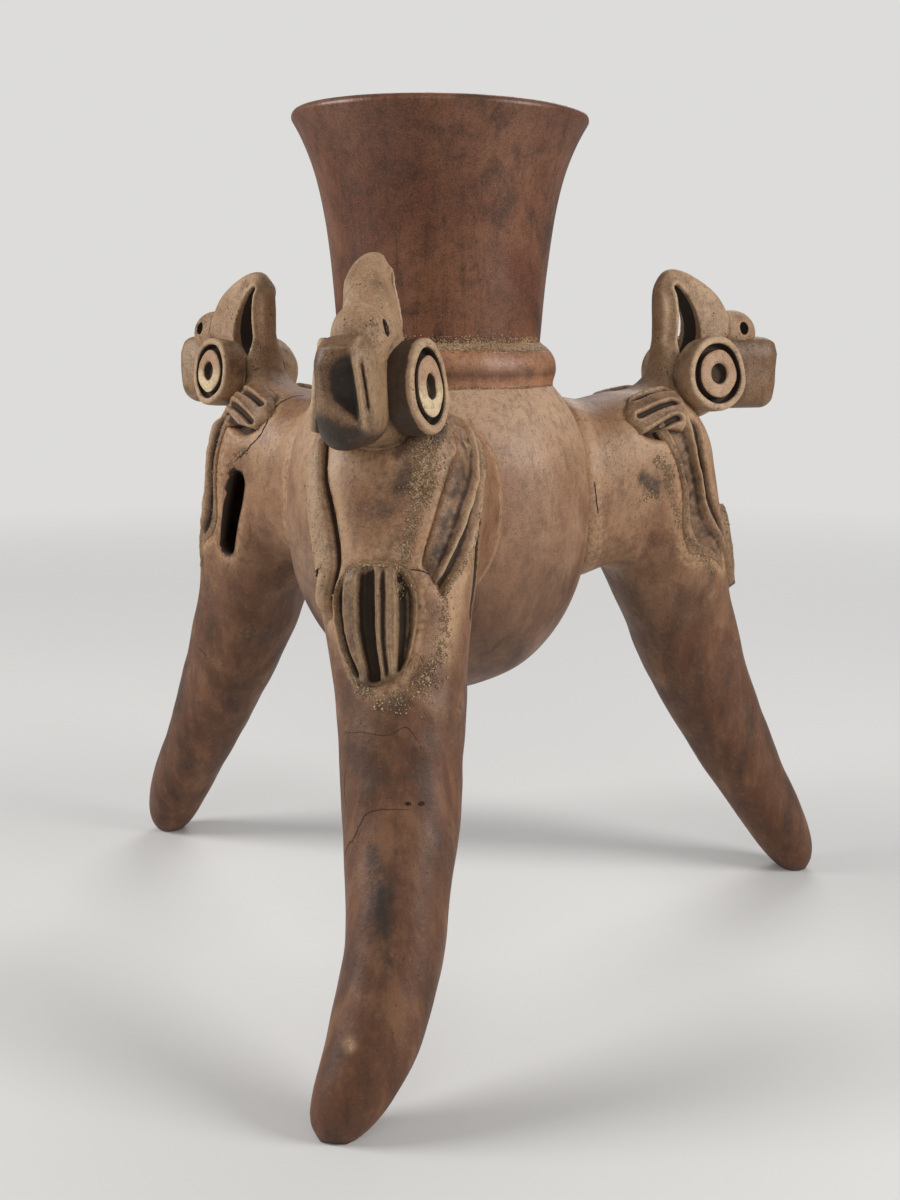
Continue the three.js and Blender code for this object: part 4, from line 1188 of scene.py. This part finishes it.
# The edges of the scoops and ribs: places aside at six levels down the tail, and the height beyond.
TAIL_LEVELS = [-16, -12, -6, 0, 6, 12]
TAIL_LINES = [
    ([-13.0, -17.4, -19.6, -19.6, -17.2, -12.6], 1.1), ([-11.9, -15.0, -16.9, -17.0, -14.8, -10.8], -1.9),
    ([-10.0, -11.0, -12.0, -12.2, -10.8, -7.8], 2.2), ([-7.6, -8.0, -8.6, -8.8, -7.8, -6.2], 2.6),
    ([-5.0, -5.4, -6.4, -6.8, -6.2, -4.8], -1.3), ([-3.4, -3.8, -4.4, -4.7, -4.3, -3.3], -2.2),
    ([-2.2, -2.4, -2.9, -3.2, -2.8, -2.1], -1.6), ([-0.9, -1.1, -1.5, -1.9, -1.8, -1.1], 2.5),
    ([0.4, 0.2, -0.1, -0.4, -0.4, 0.0], 1.1), ([1.7, 1.4, 1.2, 1.0, 1.0, 1.2], 2.6),
    ([2.8, 2.7, 2.6, 2.4, 2.2, 2.1], 2.0), ([4.6, 4.9, 5.1, 4.9, 4.1, 3.2], -1.9),
    ([6.6, 7.2, 7.5, 7.1, 5.8, 4.2], -1.1), ([8.2, 9.4, 9.9, 9.2, 7.4, 5.0], 1.3)]
for name, leg in LEGS.items():
    middle = (TAIL_SHIFTS[name], laid_flat(leg, TAIL_MIDDLE, 0.0)[1])
    flat = flat_grid((-22.5, 13.2), (-19.5, 18), middle, TAIL_PITCH)
    aside, down = tail_place(leg, flat)
    inward = -outline_distance(TAIL_EDGE, aside, down)
    height = TAIL_LINES[0][1] * np.ones(aside.shape)
    for (before, low), (after, high) in zip(TAIL_LINES, TAIL_LINES[1:]):
        ends = [np.interp(down, TAIL_LEVELS, places) for places in (before, after)]
        height = height + (high - low) * ramp(aside, *ends)
    arch = ramp(inward, 0.5, 2.0 + 3.0 * ramp(-down, 6, 13))
    height = 1.5 * (1 - arch) + height * arch
    height = height + 1.7 * np.cos(np.clip((aside + 4.6) / 18, -1, 1) * math.pi / 2) + TAIL_LIFTS[name]
    height = sunk(height, np.sqrt(np.clip(inward / 1.6, 0, 1)), TAIL_SUNK)
    patch = np.exp(-((aside - 4.6) / 2.2) ** 2) * np.exp(-((down + 11) / 3.4) ** 2)
    rim = np.exp(-((inward - 1.4) / 1.2) ** 2) * ramp(-down, 4, 12)
    pressed_on(f"{name}_tail_fan", leg, flat, 1, height, TAIL_PITCH, tail_clay, "bird_buff", f"{name}_tail",
               crust=np.maximum(patch * 0.8, rim * 0.6), soot=0.62 * ramp(down, 2, 13))

# Crust and cracks: pale grains of lime from the ground, caught along the edges of the pressed-on
# pieces, and the hairline cracks that opened when the legs dried. A crack is a dark sliver of clay
# along a line down the leg, in places and degrees, with its width.
CRACKS = {
    "front": [([(9.9, -64), (9.78, -52), (9.76, -46), (9.62, -35), (9.47, -24), (9.42, -10), (9.40, 19)], 0.5),
              ([(6.13, 17), (6.1, 28), (6.12, 40)], 0.4),
              ([(8.5, -46), (8.52, -25), (8.56, -2), (8.45, 14), (8.62, 26)], 0.22),
              ([(9.33, 15), (9.33, 20)], 1.1),
              ([(9.32, 28), (9.3, 33)], 1.4),
              ([(8.95, -50), (9.2, -56), (9.35, -54)], 0.2)],
    "right": [([(0.76, -84), (0.8, -92), (0.84, -99)], 0.5)],
    "left": [([(1.5, 8), (1.6, 20), (1.66, 35), (1.7, 55), (1.85, 68), (2.38, 80), (2.92, 85)], 0.6),
             ([(8.8, 84), (8.81, 98)], 0.3)],
}
for name, leg in LEGS.items():
    grown(f"{name}_crust_grains", crumb_maker, {"grain": 0.00036}, "leg_clay",
          seats=about_jar(np.concatenate(leg["crumbs"]), leg["azimuth"]))
    random = np.random.default_rng(leg["seed"] + 40)
    all_points, all_faces = [], []
    for controls, width in CRACKS[name]:
        line = flat_line(leg, controls, 70)
        line = line + random.uniform(-0.22, 0.22, line.shape) * min(1, 2 * width)
        half = width / 2 * np.sqrt(np.sin(np.linspace(0.02, math.pi - 0.02, 70))) * random.uniform(0.6, 1.2, 70)
        out = across_line(line) * half[:, None]
        rings = []
        for sign, lift in ((-1, 0.1), (1, 0.1), (1, -0.6), (-1, -0.6)):
            along, turn = laid_back(leg, line + out * sign)
            rise = skin_rise(leg, on_leg(leg, along, turn)) - bed(leg, along, turn)
            rings.append(off_leg(leg, along, turn, rise + lift))
        points, faces = lofted(np.stack(rings, 1))
        all_faces.append(np.where(faces < 0, -1, faces + sum(len(p) for p in all_points)))
        all_points.append(points)
    points = np.concatenate(all_points)
    piece(f"{name}_cracks", about_jar(points, leg["azimuth"]), np.concatenate(all_faces), leg_clay, "leg_clay",
          hollow=np.full(len(points), 2.0))

# Heads: each bird throws its head back with the beak open. The head is one lump, pinched to
# an upright beak, cut right through between its halves, and smeared into the shoulder.
HEAD_BLOCK = ((84, -24, 206), (150, 24, 284), 0.6)
HEAD_OUTLINE = [
    (93, 214), (95, 226), (97.4, 236), (98.6, 245), (98.7, 256), (98.3, 266), (98.7, 272.5), (101.2, 277.4),
    (104.2, 279.7), (108, 280), (112.4, 278.8), (116.9, 276.6), (121.3, 274), (125.3, 271.1), (128.4, 268),
    (130.8, 264.7), (133, 261.2), (137, 256), (141, 250), (143.5, 243), (143, 235), (138.5, 228), (131.5, 222),
    (123, 217.5), (112, 214), (102, 211),
]
HEAD_WIDTHS = ([208, 222, 235, 245, 252, 257, 261.2, 268, 274.8, 279.5, 282],
               [13.5, 10.4, 10.2, 10.4, 10.0, 8.9, 8.1, 7.3, 6.4, 4.6, 3.4])
MANDIBLE_WIDTHS = ([240, 246, 252, 260, 270, 276, 280], [9.6, 8.2, 6.5, 6.1, 5.8, 5.0, 3.8])
HEAD_ROUNDS = ([208, 225, 240, 250, 261, 268, 275, 280], [12, 12, 11, 9, 6.5, 5.4, 4.4, 3])
SLOT_OUTLINE = [
    (104.9, 272.4), (106.4, 268.6), (107.4, 262), (107.4, 256), (106.6, 249), (106.8, 243.8), (109, 241.6),
    (112.3, 243.3), (115.4, 248), (116.4, 254), (115, 261), (111.2, 268), (106.6, 272.8),
]
BEAK_LEANS = {
    "front": ([255, 257, 263, 270], [0, 0.3, -0.4, -2.2]),
    "right": ([255, 270], [0, -0.5]),
    "left": ([255, 270], [0, 0.7]),
}
SLOT_SHIFTS = {"front": 0.0, "right": 0.0, "left": -2.2}
CHEEK_POWER = 2.4
NARROWEST = 7.0


def slot_distance(name, r, z):
    """How far outside the slot of the open beak a place lies, seen from the side."""
    return outline_distance(SLOT_OUTLINE, r - SLOT_SHIFTS[name], z)


def head_lump(name, block):
    """The head before its slot is cut. The half of the beak next to the bowl is thinner, with a
    raised lip round the slot. The head widens into the shoulder, and is narrow under the comb."""
    edge = outline_distance(HEAD_OUTLINE, block.r, block.z)
    slot = slot_distance(name, block.r, block.z)
    width = np.interp(block.z, *HEAD_WIDTHS)
    mandible = ramp(-block.r, -113, -107) * ramp(block.z, 243, 250)
    lip = 0.9 * np.exp(-((slot - 1.2) / 1.1) ** 2) - 0.7 * np.exp(-((slot - 4.4) / 1.6) ** 2)
    width = width * (1 - mandible) + (np.interp(block.z, *MANDIBLE_WIDTHS) + lip) * mandible
    width = width + 3.4 * ramp(-block.r, -110, -98) * ramp(-block.z, -246, -226)
    slim = ramp(block.r, 122, 131) * ramp(-block.z, -254, -248)
    width = np.minimum(width, NARROWEST * slim + width * (1 - slim))
    rounds = np.interp(block.z, *HEAD_ROUNDS)
    lean = np.interp(block.z, *BEAK_LEANS[name])
    aside, inward = np.abs(block.l - lean) / width, np.maximum(1 + edge / rounds, 0)
    rough = (aside ** CHEEK_POWER + inward ** CHEEK_POWER) ** (1 / CHEEK_POWER) - 1
    return block.even(rough * rounds)


for name, leg in LEGS.items():
    block = Block(leg, *HEAD_BLOCK)
    head = without(head_lump(name, block), slot_distance(name, block.r, block.z), 0.7)
    reach = 3 + 8 * ramp(-block.r, -112, -98)
    pressed = np.maximum(joined(head, block.leg + 0.35, reach), -block.leg - 3.5)
    pressed = np.maximum(pressed, head - 0.9 * reach)

    # Painted shade on the walls of the slot that cuts the beak through.
    def in_slot(points):
        gap = slot_distance(name, points[:, 0], points[:, 2])
        return 1.2 * ramp(-gap, -0.5, -0.05) * ramp(-np.abs(points[:, 1]), -5.6, -4.4)

    modelled(f"{name}_head_lump", leg, block, pressed, buff_clay, "bird_buff", f"{name}_head", steps=16,
             painted_shade=in_slot,
             crust=lambda points: 0.34 * ramp(np.abs(points[:, 1]), 4, 8) * ramp(-points[:, 2], -262, -250),
             soot=lambda points: 0.3 * ramp(points[:, 2], 262, 274) * ramp(-points[:, 0], -120, -108))

# Ceres: an egg of clay over the root of each beak, its upper edge left crisp, with an oval
# nostril pushed into each side.
CERE_BLOCK = ((122, -14, 238), (151, 14, 266), 0.42)
CERE_CENTRE = np.array([136.5, 0, 252.5])
NOSTRIL_CENTRE = np.array([138.2, 8.4, 255.0])
NOSTRIL_RADII = np.array([2.2, 3.4, 2.7])


def in_nostril(points):
    """Painted shade inside the nostrils."""
    gap = np.linalg.norm((np.abs(points) - NOSTRIL_CENTRE) / NOSTRIL_RADII, axis=1)
    return 0.9 * ramp(-gap, -1.12, -1.0)


for name, leg in LEGS.items():
    block = Block(leg, *CERE_BLOCK)
    head = head_lump(name, block)
    cere = joined(block.lump(CERE_CENTRE, (11.3, 9.6, 10.4)), head - 0.7, 1.4)
    cere = within(cere, block.lump(CERE_CENTRE + (0.3, 0, 0), (12.2, 11.5, 10.9)), 0.4)
    for side in (1, -1):
        cere = without(cere, block.lump(NOSTRIL_CENTRE * (1, side, 1), NOSTRIL_RADII), 0.5)
    cere = np.maximum(cere, -head - 2.5)
    modelled(f"{name}_cere_saddle", leg, block, cere, buff_clay, "bird_buff", f"{name}_cere", painted_shade=in_nostril,
             crust=lambda points: 0.36 * ramp(points[:, 1], 1, 6))

# Combs: a thick knob of clay on each bird's brow, stained dark, with a wide hollow scooped out
# of one side of its face and a narrower groove beside it. The scoop, the groove and the lower
# edges are painted darker, as stain and as shade, and the crests carry a painted highlight.
COMB_BLOCK = ((130, -16, 212), (163, 16, 257), 0.42)
COMB_FACE = [
    (-11.9, 237), (-12.1, 244), (-10.4, 250), (-7.3, 252.3), (-2.5, 252.8), (2, 252.7), (4.6, 251.5), (6.4, 246.7),
    (7.8, 238.3), (8.2, 229.8), (7.2, 223.5), (4.4, 219.3), (-0.4, 216.9), (-6.7, 217.2), (-10.7, 221.3),
    (-11.8, 228.4),
]
COMB_SCALES = {"front": 1.0, "right": 0.86, "left": 0.86}
COMB_STAIN_AND_SHADE = {"front": 1.0, "right": 0.25, "left": 0.25}
COMB_MIDDLE = 243
COMB_FRONTS = ([214, 219, 224, 230, 238, 244, 249, 252, 255],
               [150.5, 154.5, 156.6, 157.6, 158.2, 158.6, 157, 153.5, 149])
COMB_ROUND = 4.5
umber_clay = fired_clay(
    "umber_clay", [(140, 110, 80), (116, 84, 58), (68, 48, 34), (28, 21, 16), (186, 154, 118)],
    gloss=0.48, pits=0.7, grain=1.2, streak=0.5)


def comb_ridge(z):
    """Where the ridge between the comb's scoop and its groove runs."""
    return np.interp(z, [226, 230, 236, 240, 244, 250], [5.0, 4.7, 4.1, 3.6, 3.1, 2.8])


def comb_cut(l, z):
    """How deep the comb's face is scooped out at a place on it."""
    ridge = comb_ridge(z)
    scoop = ramp(l, -11.6, 1.0) * ramp(-l, -ridge, 2.4 - ridge) * ramp(-z, -252, -241)
    scoop = scoop * ramp(z - (232 - (l + 8.1) * 0.62), -1, 6)
    groove = np.exp(-((l - ridge - 1.7) / 0.8) ** 2) * ramp(z, 226, 231) * ramp(-z, -249, -243)
    return 4.6 * scoop + 2.4 * groove


def comb_crest_highlight(points):
    """A painted highlight on the crests beside the comb's scoop and groove."""
    beyond = points[:, 1] - comb_ridge(points[:, 2])
    crests = np.maximum(np.exp(-((beyond - 0.2) / 0.9) ** 2), 0.7 * np.exp(-((beyond - 3.8) / 1.2) ** 2))
    return 0.55 * crests * ramp(points[:, 2], 219, 226)


for name, leg in LEGS.items():
    block = Block(leg, *COMB_BLOCK)
    head = head_lump(name, block)
    scale = COMB_SCALES[name]
    face = outline_distance(COMB_FACE, block.l, COMB_MIDDLE + (block.z - COMB_MIDDLE) / scale) * scale
    front = block.r - np.interp(block.z, *COMB_FRONTS) + 0.036 * block.l ** 2
    face_in, front_in = face + COMB_ROUND, front + COMB_ROUND
    rounded = np.hypot(np.maximum(face_in, 0), np.maximum(front_in, 0)) - COMB_ROUND
    comb = np.where((face_in > 0) & (front_in > 0), rounded, np.maximum(face, front))
    comb = within(comb, (front + comb_cut(block.l, block.z)) * 0.8, 0.6)
    comb = joined(comb, head + 0.3, 1.6)
    comb = np.maximum(comb, face - 1.5)
    comb = np.maximum(comb, -head - 2.5)

    # Darker in the scoop, the groove and the lower and side edges: stain, and painted shade.
    def comb_soot(points):
        l, z = points[:, 1], points[:, 2]
        low = ramp(-(z + 0.35 * l), -230, -222)
        edges = np.maximum(0.9 * low, 0.5 * ramp(-l, 8.5, 11))
        return COMB_STAIN_AND_SHADE[name] * np.maximum(1.1 * ramp(comb_cut(l, z), 0.8, 3.4), edges)

    modelled(f"{name}_comb_knob", leg, block, comb, umber_clay, "comb_umber", f"{name}_comb", steps=20,
             soot=comb_soot, pale=comb_crest_highlight)

# Eyes: on each side of a head a thick disc with a deep ring groove, and in it a pale button,
# pierced with a stick for the pupil.
EYE_STEPS = 96
EYE_DRAWN = 16.0
EYE_SIZES = {"front": 16.0, "right": 16.0, "left": 15.2}
EYE_GROOVE = [
    (0, -10.7), (14.2, -10.7), (15.5, -9.8), (15.9, -7), (16, -4), (15.95, -1.6), (15.6, -0.5), (15.0, 0),
    (14.2, 0.1), (13.5, 0), (13.0, -0.3), (12.75, -1.2), (12.65, -2.8), (12.2, -3.9), (11.4, -4.2), (10.4, -4.2), (0, -4.2)]
EYE_BUTTON = [
    (0, -3.7), (9.6, -3.7), (10.1, -2.8), (10.25, -1.4), (10.1, -0.5), (9.4, 0.1), (7.8, 0.45), (6, 0.6), (4.9, 0.35),
    (4.3, -0.4), (4.05, -1.6), (3.7, -2.7), (2.4, -3.0), (0, -3.0)]
EYE_CENTRE = np.array([120.1, 19.84, 236.05])
EYE_TILT = math.radians(12)
EYE_LIFT = math.radians(6)
cream_clay = fired_clay(
    "cream_clay", [(176, 140, 112), (160, 124, 96), (128, 94, 68), (44, 31, 22), (212, 190, 152)],
    gloss=0.6, pits=0.6, grain=1.2, streak=1.0, mottle=0.4)
BUTTON_PALENESS = {"front": 0.9, "right": 0.1, "left": 0.9}


def eye_piece(outline, size, side, seed):
    """A turned disc or button, a little uneven, facing out of its side of the head: its points
    and faces, its hollows, its points before they are turned, and how far out they were drawn."""
    outline = rounded_line(outline, EYE_STEPS)
    outline = outline[outline[:, 0] > 0.15]
    turns = np.linspace(0, 2 * math.pi, EYE_STEPS, endpoint=False)
    random = np.random.default_rng(seed)
    wobble = sum(random.uniform(-0.016, 0.016) * np.cos(k * turns + random.uniform(0, 6.3)) for k in (2, 3, 4, 5))
    radius = outline[:, 0][:, None] * (1 + wobble[None, :]) * size / EYE_DRAWN
    dip = 0.25 * np.cos(2 * turns + random.uniform(0, 6.3)) + 0.1 * np.cos(7 * turns + random.uniform(0, 6.3))
    level = outline[:, 1][:, None] + dip[None, :] * (outline[:, 0] / EYE_DRAWN)[:, None]
    points, faces = lofted(np.stack([radius * np.cos(turns), radius * np.sin(turns), level], 2))
    aim = np.array([math.sin(EYE_TILT), side * math.cos(EYE_TILT), math.sin(EYE_LIFT)])
    aim /= np.linalg.norm(aim)
    across = np.cross([0, 0, 1.0], aim)
    across /= np.linalg.norm(across)
    up = np.cross(aim, across)
    placed = points[:, [0]] * across + points[:, [1]] * up + points[:, [2]] * aim + EYE_CENTRE * (1, side, 1)
    reach = np.hypot(points[:, 0], points[:, 1]) * EYE_DRAWN / size
    return placed, faces, hollowness(points, faces, 20), points, reach


for name, leg in LEGS.items():
    for word, side in SIDES:
        seed = leg["seed"] * 2 + side
        points, faces, depth, own, reach = eye_piece(EYE_GROOVE, EYE_SIZES[name], side, seed)
        # The ring's groove is painted dark as shade, and its side is darkened, as dark clay and as painted shadow,
        # most on the front bird.
        sooty = 1.5 if name == "front" else 0.45
        piece(f"{name}_eye_ring_{word}", about_jar(points, leg["azimuth"]), faces, buff_clay, "bird_buff",
              f"{name}_eye_disc_{word}",
              hollow=depth + 1.2 * ramp(-own[:, 2], 0.4, 1.4) * ramp(-reach, -13.2, -12.8),
              soot=sooty * ramp(-own[:, 2], 0.8, 3.4), pale=0.3 * ramp(own[:, 2], -1.2, -0.5))
        points, faces, depth, own, reach = eye_piece(EYE_BUTTON, EYE_SIZES[name], side, seed + 7)
        # The pupil hole and the button's side wall are painted dark as shade.
        depth = depth + 1.1 * ramp(-reach, -4.6, -4.1) + 1.3 * ramp(-own[:, 2], 0.15, 0.8) * ramp(reach, 9.4, 9.9)
        piece(f"{name}_eye_dot_{word}", about_jar(points, leg["azimuth"]), faces, cream_clay, "button_cream",
              f"{name}_eye_button_{word}", hollow=depth, pale=BUTTON_PALENESS[name] * ramp(-own[:, 1], -3.5, 4))

# Rattle pellets: two small balls of clay, rolled by hand and shut loose in each hollow leg
# before firing. Each slides in its leg on its own, and shows only through the slit.
pellet_clay = fired_clay(
    "pellet_clay", [(146, 110, 88), (124, 88, 68), (92, 66, 52), (50, 36, 28), (180, 146, 118)],
    gloss=0.8, pits=0.6, grain=1.6, streak=1.0)
PELLET_RADIUS = 5.35
for name, leg in LEGS.items():
    for word, side in SIDES:
        node = f"{name}_pellet_{word}"
        low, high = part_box(node)
        centre = np.array((low + high) / 2) / MM - (AXIS.x / MM, AXIS.y / MM, 0)
        tilts = np.linspace(0.06, math.pi - 0.06, 18)
        points, faces = thrown(np.stack([np.sin(tilts), np.cos(tilts)], 1) * PELLET_RADIUS, 28, poles=True)
        points = points * (1 + 0.03 * waves(points, 6, leg["seed"] + side))[:, None] + centre
        piece(f"{name}_ball_{word}", points, faces, pellet_clay, "pellet_clay", node, body=node)

# Table, lamps and camera: a plain pale table under soft lamps at both sides, seen from where the
# photograph was taken. The table thins out far from the jar, into a backdrop of its own tone.
TABLE_HALF = 6
TABLE_LEVEL = -0.0002
table_paint = bpy.data.materials.new("table_paint")
tree = bare_tree(table_paint)
across = add_node(tree, "ShaderNodeVectorMath", {"operation": "LENGTH"}, {
    0: add_node(tree, "ShaderNodeTexCoord", out="Object")}, "Value")
surface = add_node(tree, "ShaderNodeBsdfPrincipled", None, {
    "Base Color": (0.66, 0.65, 0.63, 1), "Roughness": 0.7, "Alpha": 1 - across.rise(0.45, 1.7)})
add_node(tree, "ShaderNodeOutputMaterial", None, {"Surface": surface})
mesh = bpy.data.meshes.new("table_top")
corners = [(x * TABLE_HALF, y * TABLE_HALF, TABLE_LEVEL) for x, y in ((-1, -1), (1, -1), (1, 1), (-1, 1))]
mesh.from_pydata(corners, [], [(0, 1, 2, 3)])
mesh.materials.append(table_paint)
table = linked("table_top", mesh)

for name, place, aim, size, power in (
        ("left_lamp", (-1.25, -0.35, 0.85), 0.2, 0.7, 17), ("right_lamp", (1.3, -0.3, 0.75), 0.2, 0.7, 15),
        ("front_lamp", (0.2, -1.5, 1.3), 0.15, 1.0, 4.5), ("back_lamp", (0.1, 1.3, 1.2), 0.2, 1.0, 8)):
    bulb = bpy.data.lights.new(name, "AREA")
    bulb.shape, bulb.size, bulb.energy = "DISK", size, power
    lamp = linked(name, bulb)
    lamp.location = place
    x, y, z = place
    lamp.rotation_euler = (math.atan2(math.hypot(x, y), z - aim), 0, math.atan2(-y, -x) - math.pi / 2)
world = bpy.data.worlds.new("room")
bpy.context.scene.world = world
tree = bare_tree(world)
seen = add_node(tree, "ShaderNodeLightPath")
soft, backdrop = [add_node(tree, "ShaderNodeBackground", None, {"Color": colour, "Strength": strength})
                  for colour, strength in (((0.92, 0.93, 0.95, 1), 0.26), ((0.72, 0.715, 0.7, 1), 1.0))]
mixed = add_node(tree, "ShaderNodeMixShader", None, {0: seen, 1: soft, 2: backdrop})
add_node(tree, "ShaderNodeOutputWorld", None, {"Surface": mixed})
bpy.context.scene.view_settings.view_transform = "Standard"

lens = bpy.data.cameras.new("camera")
lens.lens = 43.883
lens.sensor_width = 36
lens.clip_start = 0.01
camera = linked("camera", lens)
camera.location = (AXIS.x + 0.1106, AXIS.y - 0.5988, 0.2543)
camera.rotation_euler = (math.radians(79.543), 0, math.radians(10.018))
bpy.context.scene.camera = camera
